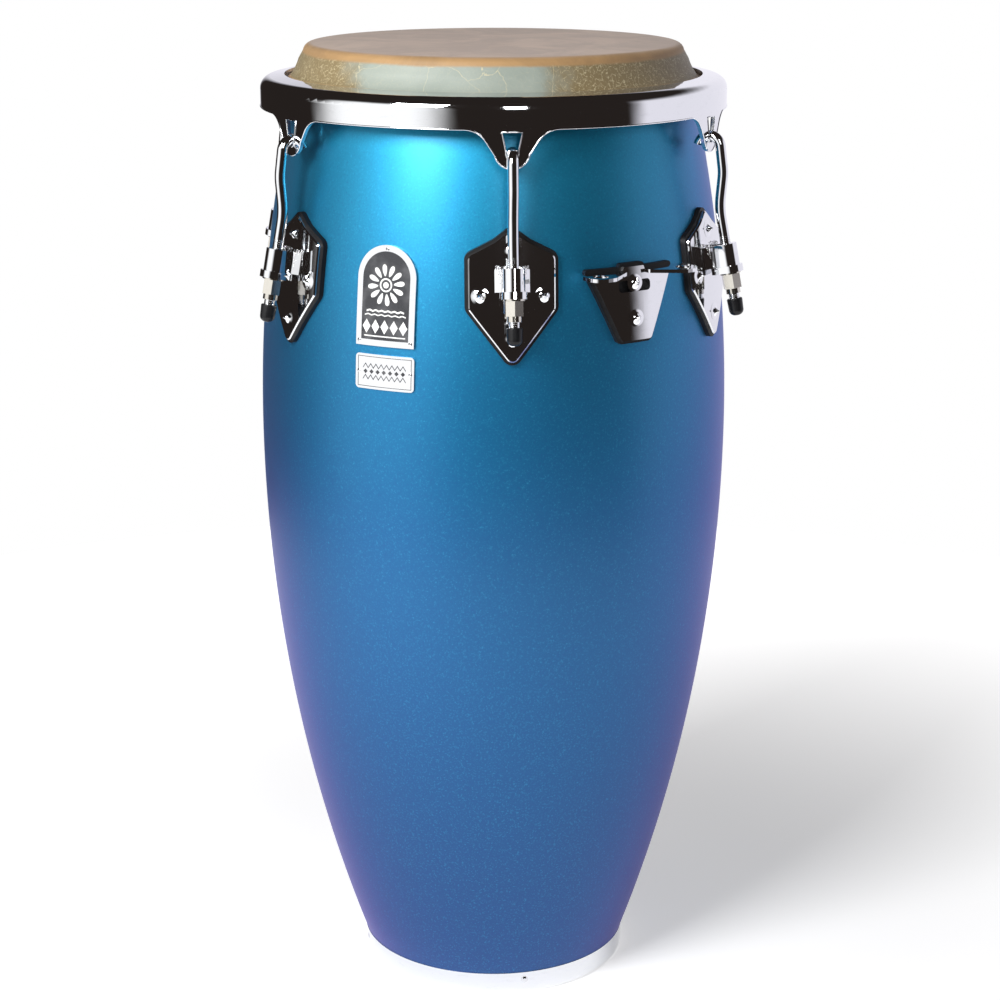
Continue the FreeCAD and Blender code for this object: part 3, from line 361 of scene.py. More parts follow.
@dataclass(frozen=True)
class Plating(Finish):
    """Bright plate over steel, with a faint ripple from polishing and light rubbing marks."""

    colour: Colour = (0.80, 0.81, 0.83, 1.0)
    roughness: float = 0.045
    ripple: float = 0.10

    def surface(self, graph: Graph) -> dict[str, Operand]:
        """Return the plate's inputs.

        Args:
            graph: the graph of the material.

        Returns:
            The shader's inputs by name.
        """
        point = graph.place()
        swell = graph.noise(point, 28.0, 2.0)
        rubbed = graph.noise(graph.stretched(point, (1.0, 1.0, 3.0)), 90.0, 6.0, 0.7)
        wear_and_highlight_mask = rubbed.over(0.52, 0.80)
        dulled = tuple(0.86 * c for c in self.colour[:3]) + (1.0,)
        return {
            "Base Color": graph.mixed(wear_and_highlight_mask * 0.5, self.colour, dulled),
            "Metallic": 1.0,
            "Roughness": wear_and_highlight_mask * 0.06 + self.roughness,
            "Normal": graph.bump(swell, self.ripple, 0.002),
        }


@dataclass(frozen=True)
class BrushedSteel(Finish):
    """Zinc-plated steel with turning marks."""

    colour: Colour = (0.55, 0.55, 0.56, 1.0)

    def surface(self, graph: Graph) -> dict[str, Operand]:
        """Return the steel's inputs.

        Args:
            graph: the graph of the material.

        Returns:
            The shader's inputs by name.
        """
        point = graph.place()
        marks = graph.noise(graph.stretched(point, (1.0, 1.0, 14.0)), 320.0, 5.0, 0.7)
        stain = graph.noise(point, 45.0, 4.0)
        return {
            "Base Color": graph.mixed(stain.over(0.45, 0.75) * 0.5, self.colour, (0.40, 0.38, 0.34, 1.0)),
            "Metallic": 1.0,
            "Roughness": marks * 0.22 + 0.20,
            "Normal": graph.bump(marks, 0.15, 0.0003),
        }


@dataclass(frozen=True)
class Moulded(Finish):
    """Moulded rubber or plastic with a fine grain."""

    colour: Colour = (0.006, 0.006, 0.007, 1.0)
    roughness: float = 0.50
    grain: float = 0.25

    def surface(self, graph: Graph) -> dict[str, Operand]:
        """Return the moulding's inputs.

        Args:
            graph: the graph of the material.

        Returns:
            The shader's inputs by name.
        """
        point = graph.place()
        grain = graph.noise(point, 900.0, 3.0, 0.6)
        dust = graph.noise(point, 60.0, 5.0, 0.65)
        lifted = tuple(c * 1.8 + 0.004 for c in self.colour[:3]) + (1.0,)
        return {
            "Base Color": graph.mixed(dust.over(0.45, 0.8) * 0.6, self.colour, lifted),
            "Roughness": dust * 0.16 + (self.roughness - 0.08),
            "Specular IOR Level": 0.25,
            "Normal": graph.bump(grain, self.grain, 0.0003),
        }


@dataclass(frozen=True)
class Enamel(Finish):
    """Hard gloss enamel, with a faint orange peel."""

    colour: Colour = (0.016, 0.017, 0.022, 1.0)

    def surface(self, graph: Graph) -> dict[str, Operand]:
        """Return the enamel's inputs.

        Args:
            graph: the graph of the material.

        Returns:
            The shader's inputs by name.
        """
        point = graph.place()
        peel = graph.noise(point, 480.0, 2.0)
        haze = graph.noise(point, 70.0, 4.0)
        return {
            "Base Color": graph.mixed(haze.over(0.4, 0.8) * 0.25, self.colour, (0.30, 0.30, 0.31, 1.0)),
            "Roughness": haze * 0.10 + 0.12,
            "Coat Weight": 0.4,
            "Coat Roughness": 0.06,
            "Normal": graph.bump(peel, 0.06, 0.0004),
        }


@dataclass(frozen=True)
class Hide(Finish):
    """Natural skin: a matte face stained by use, a golden edge, and a thin collar of gold-brown speckle and
    pale fibres, with a grey-green painted highlight in a band across it.
    """

    face: Colour = (0.55, 0.41, 0.315, 1.0)
    face_stain: Colour = (0.43, 0.32, 0.25, 1.0)
    gold: Colour = (0.45, 0.27, 0.115, 1.0)
    # The collar colour is the grey-green of a painted highlight, not the skin's own colour.
    collar: Colour = (0.33, 0.365, 0.32, 1.0)
    speckle: Colour = (0.22, 0.155, 0.062, 1.0)
    fibre: Colour = (0.60, 0.53, 0.34, 1.0)
    face_radius: float = 0.1432
    edge_height: float = 0.7556
    hoop_height: float = 0.7375

    def surface(self, graph: Graph) -> dict[str, Operand]:
        """Return the skin's inputs, zone by zone from the middle of the face to the hoop.

        Args:
            graph: the graph of the material.

        Returns:
            The shader's inputs by name.
        """
        point = graph.place()
        across, along, height = graph.axes(point)
        radius = (across * across + along * along) ** 0.5
        clouds = graph.noise(point, 16.0, 8.0, 0.70, 0.8)
        pores = graph.noise(point, 520.0, 4.0, 0.6)
        patches = graph.noise(point, 9.0, 5.0, 0.6, 1.2)
        hairs = graph.noise(graph.stretched(point, (1.0, 1.0, 1.8)), 170.0, 8.0, 0.75, 2.2)
        bent = graph.node("ShaderNodeVectorMath", {"operation": "ADD"}, {
            0: point,
            1: graph.stretched(graph.node("ShaderNodeTexNoise", None, {
                "Vector": point, "Scale": 60.0, "Detail": 4.0}, "Color"), (0.016, 0.016, 0.016)),
        })
        veins = graph.cracks(bent, 21.0).over(0.006, 0.001)
        stroke = graph.cracks(graph.stretched(bent, (1.0, 1.0, 0.6)), 300.0).over(0.09, 0.02)

        face = graph.mixed(clouds.over(0.38, 0.66), self.face_stain, self.face)
        face = graph.mixed(pores.over(0.55, 0.75) * 0.35, face, (0.42, 0.33, 0.24, 1.0))
        rubbed = graph.mixed(clouds.over(0.3, 0.7) * 0.6, self.gold, (0.25, 0.160, 0.080, 1.0))
        rim = radius + (clouds - 0.5) * 0.008
        top = graph.mixed(rim.over(self.face_radius - 0.003, self.face_radius + 0.003), face, rubbed)
        # Painted highlight: this mask keeps the grey-green collar only in a band where x is about -0.09 to
        # 0.01 m, broken by patches. Elsewhere the collar takes the speckle.
        wear_and_highlight_mask = (across.over(0.01, 0.06) + across.over(-0.09, -0.13) + (patches - 0.5) * 1.8).over(0.15, 0.85)
        collar = graph.mixed(patches.over(0.35, 0.65) * 0.5, self.collar, (0.19, 0.235, 0.20, 1.0))
        collar = graph.mixed(wear_and_highlight_mask * 0.9, collar, self.speckle)
        collar = graph.mixed(stroke * hairs.over(0.46, 0.56) * (wear_and_highlight_mask * 0.62 + 0.10), collar, self.fibre)
        collar = graph.mixed(veins * patches.over(0.40, 0.55) * 0.7, collar, self.fibre)
        line = height + (clouds - 0.5) * 0.004
        skin = graph.mixed(line.over(self.edge_height - 0.0012, self.edge_height + 0.0012), collar, top)
        skin = graph.mixed(line.over(self.hoop_height + 0.0012, self.hoop_height - 0.0012), skin, self.gold)
        return {
            "Base Color": skin,
            "Roughness": hairs * 0.25 + height.over(0.7615, 0.7535) * -0.12 + 0.52,
            "Specular IOR Level": 0.42,
            "Sheen Weight": 0.12,
            "Normal": graph.bump(pores * 0.5 + hairs * 0.5 + veins * 0.4, 0.22, 0.0006),
        }


@dataclass(frozen=True)
class StudioFloor(Finish):
    """Pale matte floor with a painted glow: its emission grows from dim in the middle to bright at its rim,
    where it meets the white of the room.
    """

    inner: float = 0.30
    outer: float = 1.15

    def surface(self, graph: Graph) -> dict[str, Operand]:
        """Return the floor's inputs.

        Args:
            graph: the graph of the material.

        Returns:
            The shader's inputs by name.
        """
        across, along, _ = graph.axes(graph.place())
        distance = (across * across + along * along) ** 0.5
        return {
            "Base Color": grey(0.90),
            "Roughness": 0.9,
            "Specular IOR Level": 0.1,
            # Painted glow: the floor emits light, dim near the drum and bright at its rim.
            "Emission Color": graph.mixed(distance.over(self.inner, self.outer), grey(0.42), grey(0.95)),
            "Emission Strength": 1.0,
        }


class Coating(Enum):
    """Finishes that the drum's pieces take, each made once."""

    PAINT = ShiftPaint("colour_shift_paint")
    WOOD = BareWood("bare_stave_wood")
    CHROME = Plating("chrome_plate")
    DARK_CHROME = Plating("chrome_plate_flat", (0.78, 0.79, 0.81, 1.0), 0.06, 0.06)
    NICKEL = Plating("nickel_plate", (0.66, 0.63, 0.57, 1.0), 0.16, 0.05)
    SCREW = Plating("screw_plate", (0.70, 0.70, 0.72, 1.0), 0.10, 0.04)
    STEEL = BrushedSteel("zinc_steel")
    WELD = Plating("plated_weld", (0.76, 0.76, 0.78, 1.0), 0.10, 0.30)
    RUBBER = Moulded("black_rubber")
    CAP = Moulded("cap_rubber", (0.008, 0.008, 0.009, 1.0), 0.32, 0.10)
    HIDE = Hide("natural_skin")
    BLACK = Enamel("black_enamel")
    WHITE = Enamel("white_enamel", (0.80, 0.80, 0.78, 1.0))
    FLOOR = StudioFloor("studio_floor")


class Workshop:
    """Makes each material once and hands it out."""

    made: dict[Coating, bpy.types.Material] = {}

    @classmethod
    def get(cls, coating: Coating) -> bpy.types.Material:
        """Return a coating's material.

        Args:
            coating: the finish asked for.

        Returns:
            Its one material.
        """
        if coating not in cls.made:
            cls.made[coating] = coating.value.make()
        return cls.made[coating]


# Mesh tools ------------------------------------------------------------------------------------


def new_piece(name: str, vertices: Iterable[Sequence[float]], faces: Iterable[Sequence[int]],
              coatings: Sequence[Coating], face_coatings: Sequence[int] | None = None,
              crease: float = 35.0) -> bpy.types.Object:
    """Make an object at the origin from plain lists.

    Args:
        name: the object's name.
        vertices: its points.
        faces: its faces, as indices of points.
        coatings: its materials.
        face_coatings: the number of each face's material; all take the first without it.
        crease: edges that bend by more than this many degrees stay sharp.

    Returns:
        The object, with smooth faces.
    """
    mesh = bpy.data.meshes.new(name)
    mesh.from_pydata([tuple(v) for v in vertices], [], [tuple(f) for f in faces])
    return finish_piece(name, mesh, coatings, face_coatings, crease)


def finish_piece(name: str, mesh: bpy.types.Mesh, coatings: Sequence[Coating],
                 face_coatings: Sequence[int] | None = None, crease: float = 35.0) -> bpy.types.Object:
    """Turn normals outwards, shade and coat a mesh, and link it to the scene.

    Args:
        name: the object's name.
        mesh: the mesh, which becomes the object's own.
        coatings: its materials.
        face_coatings: the number of each face's material; all take the first without it.
        crease: edges that bend by more than this many degrees stay sharp.

    Returns:
        The object, linked to the scene.
    """
    work = bmesh.new()
    work.from_mesh(mesh)
    bmesh.ops.recalc_face_normals(work, faces=work.faces)
    work.to_mesh(mesh)
    work.free()
    mesh.materials.clear()
    for coating in coatings:
        mesh.materials.append(Workshop.get(coating))
    mesh.polygons.foreach_set("use_smooth", [True] * len(mesh.polygons))
    mesh.polygons.foreach_set("material_index", list(face_coatings or [0] * len(mesh.polygons)))
    mesh.set_sharp_from_angle(angle=math.radians(crease))
    mesh.update()
    piece = bpy.data.objects.new(name, mesh)
    bpy.context.scene.collection.objects.link(piece)
    return piece


def lathe(section: Sequence[Point], segments: int,
          wobble: Callable[[int, float], tuple[float, float]] | None = None
          ) -> tuple[list[tuple[float, float, float]], list[tuple[int, ...]], list[int]]:
    """Turn a section about Z.

    Args:
        section: (radius, height) corners. A closed section returns to its first corner by itself; one whose
            ends lie on the axis closes there in a single point.
        segments: how many steps there are round the turn.
        wobble: gives a corner's extra radius and height from its number and its angle.

    Returns:
        The points, the faces, and for each face the number of the corner that it starts from.
    """
    on_axis = section[0][0] == 0.0
    vertices: list[tuple[float, float, float]] = []
    rings: list[list[int]] = []
    for number, (radius, height) in enumerate(section):
        if radius == 0.0:
            rings.append([len(vertices)] * segments)
            vertices.append((0.0, 0.0, height))
            continue
        rings.append(list(range(len(vertices), len(vertices) + segments)))
        for step in range(segments):
            angle = step / segments * math.tau
            out, up = wobble(number, angle) if wobble else (0.0, 0.0)
            vertices.append(((radius + out) * math.cos(angle), (radius + out) * math.sin(angle), height + up))
    faces: list[tuple[int, ...]] = []
    starts: list[int] = []
    for number in range(len(section) - 1 if on_axis else len(section)):
        lower, upper = rings[number], rings[(number + 1) % len(rings)]
        for step in range(segments):
            after = (step + 1) % segments
            corners = [lower[step], lower[after], upper[after], upper[step]]
            face = tuple(dict.fromkeys(corners))
            faces.append(face)
            starts.append(number)
    return vertices, faces, starts


def arc(centre: Point, radius: float, first: float, last: float, steps: int) -> list[Point]:
    """Return points on an arc.

    Args:
        centre: the arc's centre.
        radius: its radius.
        first: the angle that it starts at, in degrees from the outward direction.
        last: the angle that it ends at.
        steps: how many runs it has.

    Returns:
        One point more than there are steps.
    """
    angles = [math.radians(first + (last - first) * step / steps) for step in range(steps + 1)]
    return [(centre[0] + radius * math.cos(a), centre[1] + radius * math.sin(a)) for a in angles]


def show(piece: bpy.types.Object, body: str, slot: str, *nodes: str) -> None:
    """Ride a piece on a body, and let it stand for CAD nodes."""
    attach(piece, body)
    if nodes:
        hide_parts(*nodes)
    log.info("%s: %d faces on %s", piece.name, len(piece.data.polygons), body)


class Pattern:
    """A Geometry Nodes tree with named sizes, run once on a mesh of guide points."""

    def __init__(self, name: str, sizes: dict[str, tuple[str, Any]]) -> None:
        """Make the tree and its inputs.

        Args:
            name: the tree's name.
            sizes: each input's socket type and value, by name.
        """
        self.tree = bpy.data.node_groups.new(name, "GeometryNodeTree")
        self.graph = Graph(self.tree)
        self.sizes = sizes
        self.tree.interface.new_socket("Geometry", in_out="INPUT", socket_type="NodeSocketGeometry")
        self.sockets = {
            title: self.tree.interface.new_socket(title, in_out="INPUT", socket_type=kind)
            for title, (kind, _) in sizes.items()
        }
        self.tree.interface.new_socket("Geometry", in_out="OUTPUT", socket_type="NodeSocketGeometry")
        self.source = self.graph.add("NodeGroupInput")

    def given(self, title: str) -> Value:
        """Return a named input."""
        return self.graph.out(self.source, title)

    def close(self, geometry: Value, coating: Coating) -> None:
        """End the tree with real geometry in one finish."""
        real = self.graph.node("GeometryNodeRealizeInstances", None, {"Geometry": geometry})
        dressed = self.graph.node("GeometryNodeSetMaterial", None, {
            "Geometry": real, "Material": Workshop.get(coating),
        })
        self.graph.add("NodeGroupOutput", None, {"Geometry": dressed})

    def run(self, name: str, guides: Sequence[Sequence[float]], place: Matrix,
            edges: Sequence[tuple[int, int]] = ()) -> bpy.types.Object:
        """Evaluate the tree and return its result as a plain mesh.

        Args:
            name: the new object's name.
            guides: the guide points that the tree receives.
            place: where the result goes.
            edges: pairs of guide points that are joined.

        Returns:
            An object at the origin that holds the result in place.
        """
        guide_mesh = bpy.data.meshes.new(name + "_guides")
        guide_mesh.from_pydata([tuple(g) for g in guides], list(edges), [])
        carrier = bpy.data.objects.new(name + "_guides", guide_mesh)
        bpy.context.scene.collection.objects.link(carrier)
        modifier = carrier.modifiers.new(name, "NODES")
        modifier.node_group = self.tree
        for title, (_, value) in self.sizes.items():
            modifier[self.sockets[title].identifier] = value
        evaluated = carrier.evaluated_get(bpy.context.evaluated_depsgraph_get())
        mesh = bpy.data.meshes.new_from_object(evaluated)
        carrier.modifiers.clear()
        bpy.data.objects.remove(carrier)
        mesh.transform(place)
        mesh.name = name
        mesh.polygons.foreach_set("use_smooth", [True] * len(mesh.polygons))
        mesh.update()
        piece = bpy.data.objects.new(name, mesh)
        bpy.context.scene.collection.objects.link(piece)
        return piece


# The drum's own pieces -------------------------------------------------------------------------


@dataclass
class Barrel:
    """The shell: painted outside, bare staves inside. It gives the surface that the hardware lies on."""

    height: float = 762.0 * MM
    head_radius: float = 147.4 * MM
    belly_radius: float = 186.4 * MM
    belly_share: float = 0.61024
    foot_radius: float = 109.3 * MM
    wall: float = 12.0 * MM
    edge: float = 5.0 * MM
    skin: float = 1.6 * MM
    ring_height: float = 18.7 * MM
    ring_seat: float = 108.1 * MM
    ring_floor: float = 1.6 * MM
    segments: int = 192

    def __post_init__(self) -> None:
        """Work out the barrel's two arcs."""
        self.belly_height = self.height * self.belly_share
        self.top = self.height - self.skin
        fall, rise = self.belly_radius - self.head_radius, self.top - self.belly_height
        self.upper_arc = (fall * fall + rise * rise) / (2 * fall)
        fall, rise = self.belly_radius - self.foot_radius, self.belly_height - self.ring_height
        self.lower_arc = (fall * fall + rise * rise) / (2 * fall)

    def radius(self, height: float, outward: float = 0.0) -> float:
        """Return the shell's radius at a height, moved outward along its normal."""
        bend = self.upper_arc if height > self.belly_height else self.lower_arc
        return self.belly_radius - bend + math.sqrt((bend + outward) ** 2 - (height - self.belly_height) ** 2)

    def wrap(self, azimuth: float, sideways: float, height: float, outward: float) -> Vector:
        """Return a point on a sheet that is wrapped on the shell.

        Args:
            azimuth: the sheet's middle.
            sideways: how far the point is to its right, seen from outside.
            height: the point's height.
            outward: how far it stands off the shell.

        Returns:
            The point in the drum's frame.
        """
        radius = self.radius(height, outward)
        return turn_to(azimuth) @ Vector((math.sqrt(radius * radius - sideways * sideways), sideways, height))

    def build(self) -> None:
        """Build the shell in one turned piece."""
        steps = 64
        crown = self.top - self.edge
        rise = (crown - self.ring_height) / steps
        outer = [
            (self.radius(self.ring_height + rise * n), self.ring_height + rise * n)
            for n in range(steps + 1)
        ]
        lip = arc((self.head_radius - self.edge, crown), self.edge, 12, 90, 5)
        lip += arc((self.head_radius - self.wall + self.edge, crown), self.edge, 90, 168, 5)
        fall = (crown - self.ring_floor) / steps
        inner = [
            (self.radius(crown - fall * n, -self.wall), crown - fall * n)
            for n in range(steps + 1)
        ]
        seat = [(self.ring_seat, self.ring_floor), (self.ring_seat, self.ring_height)]
        section = seat + outer + lip + inner
        vertices, faces, starts = lathe(section, self.segments)
        painted = len(seat) + len(outer)
        shell = new_piece("shell_painted", vertices, faces, [Coating.PAINT, Coating.WOOD],
                          [0 if start < painted else 1 for start in starts])
        show(shell, "drum", "shell", "shell")


@dataclass
class Skin:
    """The head: playing face, golden edge, flared collar and the tuck round the flesh ring, in one skin."""

    barrel: Barrel
    thickness: float = 1.6 * MM
    joint: float = 750.0 * MM
    collar_radius: float = 159.5 * MM
    collar_height: float = 736.0 * MM
    ring_radius: float = 168.0 * MM
    ring_height: float = 729.0 * MM
    tuck: float = 4.0 * MM
    tuck_depth: float = 3.5 * MM
    pucker: float = 0.16 * MM
    segments: int = 256

    def outer_section(self) -> list[Point]:
        """Return the skin's outside, from the middle of the face to the tuck's lower edge.

        Returns:
            The outside as (radius, height) corners.
        """
        barrel, thick = self.barrel, self.thickness
        flat = barrel.head_radius - barrel.edge - thick / 2
        face = [(flat * n / 10, barrel.height) for n in range(11)]
        edge = arc((flat, barrel.top - barrel.edge), barrel.edge + thick, 84, 10, 8)
        side = [(barrel.radius(self.joint, thick), self.joint)]
        collar = self.sweep((barrel.radius(self.joint, thick), self.joint),
                            (barrel.head_radius + 6.6 * MM, self.joint - 7.0 * MM),
                            (self.collar_radius, self.collar_height), 8)
        reach = self.tuck + thick
        over = arc((self.ring_radius, self.ring_height), reach, 100, 0, 8)
        tucked = (self.ring_radius + reach, self.ring_height - self.tuck_depth)
        return face + edge + side + collar[1:] + over + [tucked]

    @staticmethod
    def sweep(start: Point, middle: Point, end: Point, steps: int) -> list[Point]:
        """Return points on the parabola that leaves start towards middle and arrives at end.

        Args:
            start: its first point.
            middle: where its two end tangents meet.
            end: its last point.
            steps: how many runs it has.

        Returns:
            One point more than there are steps.
        """
        points = []
        for step in range(steps + 1):
            t = step / steps
            weights = ((1 - t) ** 2, 2 * t * (1 - t), t * t)
            points.append(tuple(
                sum(w * p[axis] for w, p in zip(weights, (start, middle, end))) for axis in (0, 1)
            ))
        return points

    def inner_section(self, outside: Sequence[Point]) -> list[Point]:
        """Return the outside moved in by the skin's thickness, back to the axis.

        Args:
            outside: the section that outer_section returns.

        Returns:
            The inside, from the tuck back to the middle of the face.
        """
        inside = []
        for number in range(len(outside) - 1, 0, -1):
            before, after = outside[number - 1], outside[min(number + 1, len(outside) - 1)]
            along = Vector((after[0] - before[0], after[1] - before[1])).normalized()
            across = Vector((along.y, -along.x)) * self.thickness
            inside.append((outside[number][0] + across.x, outside[number][1] + across.y))
        return inside + [(0.0, self.barrel.height - self.thickness)]

    def puckers(self, number: int, angle: float) -> tuple[float, float]:
        """Return the collar's slight waviness at a corner of the section and an angle.

        Args:
            number: the corner.
            angle: the angle round the drum in radians.

        Returns:
            The extra radius and height.
        """
        share = self.weights[number]
        wave = math.sin(angle * 7 + 0.6) + 0.6 * math.sin(angle * 13 + 2.1)
        wave += 0.45 * math.sin(angle * 31 + 4.0)
        return -abs(share * self.pucker * wave) * 0.6, share * self.pucker * wave * 0.5

    def build(self) -> None:
        """Build the skin and hide the CAD skin and collar that it stands for."""
        outside = self.outer_section()
        section = outside + self.inner_section(outside)
        low, high = self.ring_height, self.joint
        self.weights = [
            max(0.0, math.sin(math.pi * min(max((height - low) / (high - low), 0.0), 1.0)))
            for _, height in section
        ]
        vertices, faces, _ = lathe(section, self.segments, self.puckers)
        skin = new_piece("head_skin", vertices, faces, [Coating.HIDE], crease=60.0)
        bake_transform(skin)
        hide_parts("drumhead_skin", "skin_collar")
        log.info("%s: %d faces between drum and rim", skin.name, len(skin.data.polygons))


@dataclass
class Lug:
    """A lug's rod line, with the thread cut on the rod and the weld beads that hold its strap."""

    barrel: Barrel
    clamp_drop: float = 152.0 * MM
    plate_face: float = 6.2 * MM
    rod_stand: float = 14.0 * MM
    rod_radius: float = 3.97 * MM
    knee_reach: float = 190.3 * MM
    knee_height: float = 644.9 * MM
    pitch: float = 25.4 / 18 * MM
    thread_low: float = -42.0 * MM
    thread_high: float = 14.5 * MM
    ridge: float = 0.20 * MM
    strap_side: float = 8.25 * MM
    foot_side: float = 11.6 * MM
    foot_rise: float = 4.0 * MM
    strap_low: float = -9.1 * MM
    strap_high: float = 7.5 * MM
    bead_radius: float = 0.75 * MM
    bead_rows: int = 12
    bead_shares: tuple[float, ...] = (0.12, 0.42, 0.72, 1.0)

    def __post_init__(self) -> None:
        """Work out the rod's place and tilt."""
        self.clamp = self.barrel.height - self.clamp_drop
        self.reach = self.barrel.radius(self.clamp, self.plate_face) + self.rod_stand
        self.tilt = math.atan((self.reach - self.knee_reach) / (self.knee_height - self.clamp))

    def rod_frame(self, azimuth: float) -> Matrix:
        """Return the frame of a lug's rod: origin at clamp height, +Z up along it."""
        foot = Matrix.Translation((self.reach, 0, self.clamp)) @ Matrix.Rotation(-self.tilt, 4, "Y")
        return turn_to(azimuth) @ foot

    def thread_pattern(self) -> Pattern:
        """Return the tree that winds one thread ridge up a rod.

        Returns:
            The tree, ready to run.
        """
        length = self.thread_high - self.thread_low
        pattern = Pattern("rod_thread", {
            "Turns": ("NodeSocketFloat", length / self.pitch),
            "Length": ("NodeSocketFloat", length),
            "Radius": ("NodeSocketFloat", self.rod_radius - 0.04 * MM),
            "Ridge": ("NodeSocketFloat", self.ridge),
        })
        graph = pattern.graph
        helix = graph.node("GeometryNodeCurveSpiral", None, {
            "Resolution": 20, "Rotations": pattern.given("Turns"), "Start Radius": pattern.given("Radius"),
            "End Radius": pattern.given("Radius"), "Height": pattern.given("Length"),
        })
        crest = graph.node("GeometryNodeCurvePrimitiveCircle", None, {
            "Resolution": 6, "Radius": pattern.given("Ridge"),
        })
        tube = graph.node("GeometryNodeCurveToMesh", None, {
            "Curve": helix, "Profile Curve": crest, "Fill Caps": True,
        })
        pattern.close(tube, Coating.CHROME)
        return pattern

    def weld_pattern(self) -> Pattern:
        """Return the tree that sets one uneven bead on each guide point.

        Returns:
            The tree, ready to run.
        """
        pattern = Pattern("weld_beads", {
            "Bead Radius": ("NodeSocketFloat", self.bead_radius),
            "Seed": ("NodeSocketInt", 11),
        })
        graph = pattern.graph
        bead = graph.node("GeometryNodeMeshUVSphere", None, {
            "Segments": 8, "Rings": 5, "Radius": pattern.given("Bead Radius"),
        })
        scale = graph.node("FunctionNodeRandomValue", {"data_type": "FLOAT_VECTOR"}, {
            0: (0.55, 0.55, 0.55), 1: (1.15, 1.15, 1.15), "Seed": pattern.given("Seed"),
        })
        turn = graph.node("FunctionNodeRandomValue", {"data_type": "FLOAT_VECTOR"}, {
            0: (0.0, 0.0, 0.0), 1: (math.tau, math.tau, math.tau), "Seed": pattern.given("Seed"),
        })
        beads = graph.node("GeometryNodeInstanceOnPoints", None, {
            "Points": pattern.given("Geometry"), "Instance": bead, "Scale": scale, "Rotation": turn,
        })
        pattern.close(beads, Coating.WELD)
        return pattern

    def weld_points(self, azimuth: float) -> list[Vector]:
        """Return the places of the beads that run down both sides of a strap, from its tube to its foot.

        Args:
            azimuth: the azimuth of the lug in degrees.

        Returns:
            One place for each bead.
        """
        rise = (self.strap_high - self.strap_low) / self.bead_rows
        points = []
        for side in (-1, 1):
            for row in range(self.bead_rows):
                for column, share in enumerate(self.bead_shares):
                    along = self.strap_low + rise * (row + 0.3 + 0.4 * (column % 2))
                    sideways = side * (self.strap_side + (self.foot_side - self.strap_side) * share)
                    outward = self.plate_face + self.foot_rise * (1 - share)
                    height = self.clamp + along * math.cos(self.tilt)
                    points.append(self.barrel.wrap(azimuth, sideways, height, outward))
        return points

    def build(self) -> None:
        """Build the threads of every rod and the welds of every strap."""
        thread = self.thread_pattern()
        for number, azimuth in enumerate(lug_azimuths()):
            place = self.rod_frame(azimuth) @ Matrix.Translation((0, 0, self.thread_low))
            piece = thread.run(f"rod_thread_{number + 1}", [(0, 0, 0)], place)
            show(piece, f"hook_{number + 1}", "chrome")
        points = [point for azimuth in lug_azimuths() for point in self.weld_points(azimuth)]
        welds = self.weld_pattern().run("strap_welds", points, Matrix.Identity(4))
        show(welds, "drum", "chrome")


@dataclass
class RolledEdge:
    """The bright rolled lip along the hoop's lower edge and its ears, taken from the hoop itself."""

    node: str = "tension_hoop"
    lip: float = 0.55 * MM
    sides: int = 8

    def lip_edges(self) -> tuple[list[Vector], list[tuple[int, int]]]:
        """Return the points and edges where the hoop's upright outer wall ends below its shoulder.

        Returns:
            The points, and the pairs of their numbers that an edge joins.
        """
        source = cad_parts[self.node].data
        work = bmesh.new()
        work.from_mesh(source)
        bmesh.ops.remove_doubles(work, verts=work.verts, dist=0.01 * MM)
        reach = max(math.hypot(vertex.co.x, vertex.co.y) for vertex in work.verts)
        numbers: dict[int, int] = {}
        points: list[Vector] = []
        edges: list[tuple[int, int]] = []
        for edge in work.edges:
            if not self.is_lip(edge, reach):
                continue
            for vertex in edge.verts:
                if vertex.index not in numbers:
                    numbers[vertex.index] = len(points)
                    points.append(vertex.co.copy())
            edges.append((numbers[edge.verts[0].index], numbers[edge.verts[1].index]))
        work.free()
        return points, edges

    @staticmethod
    def is_lip(edge: bmesh.types.BMEdge, reach: float) -> bool:
        """Return whether an edge lies on the outer wall and turns sharply into the wall's cut edge.

        Args:
            edge: an edge of the hoop.
            reach: the radius of the outer wall.

        Returns:
            True for an edge of the lip.
        """
        on_wall = all(math.hypot(vertex.co.x, vertex.co.y) > reach - 0.15 * MM for vertex in edge.verts)
        if not on_wall or len(edge.link_faces) != 2:
            return False
        return edge.calc_face_angle(0.0) > math.radians(60)

    def build(self) -> None:
        """Sweep the lip along those edges."""
        pattern = Pattern("rolled_edge", {"Lip": ("NodeSocketFloat", self.lip)})
        graph = pattern.graph
        path = graph.node("GeometryNodeMeshToCurve", None, {"Mesh": pattern.given("Geometry")})
        profile = graph.node("GeometryNodeCurvePrimitiveCircle", None, {
            "Resolution": self.sides, "Radius": pattern.given("Lip"),
        })
        tube = graph.node("GeometryNodeCurveToMesh", None, {
            "Curve": path, "Profile Curve": profile, "Fill Caps": True,
        })
        pattern.close(tube, Coating.CHROME)
        points, edges = self.lip_edges()
        lip = pattern.run("hoop_rolled_edge", points, Matrix.Identity(4), edges=edges)
        show(lip, "rim", "chrome")


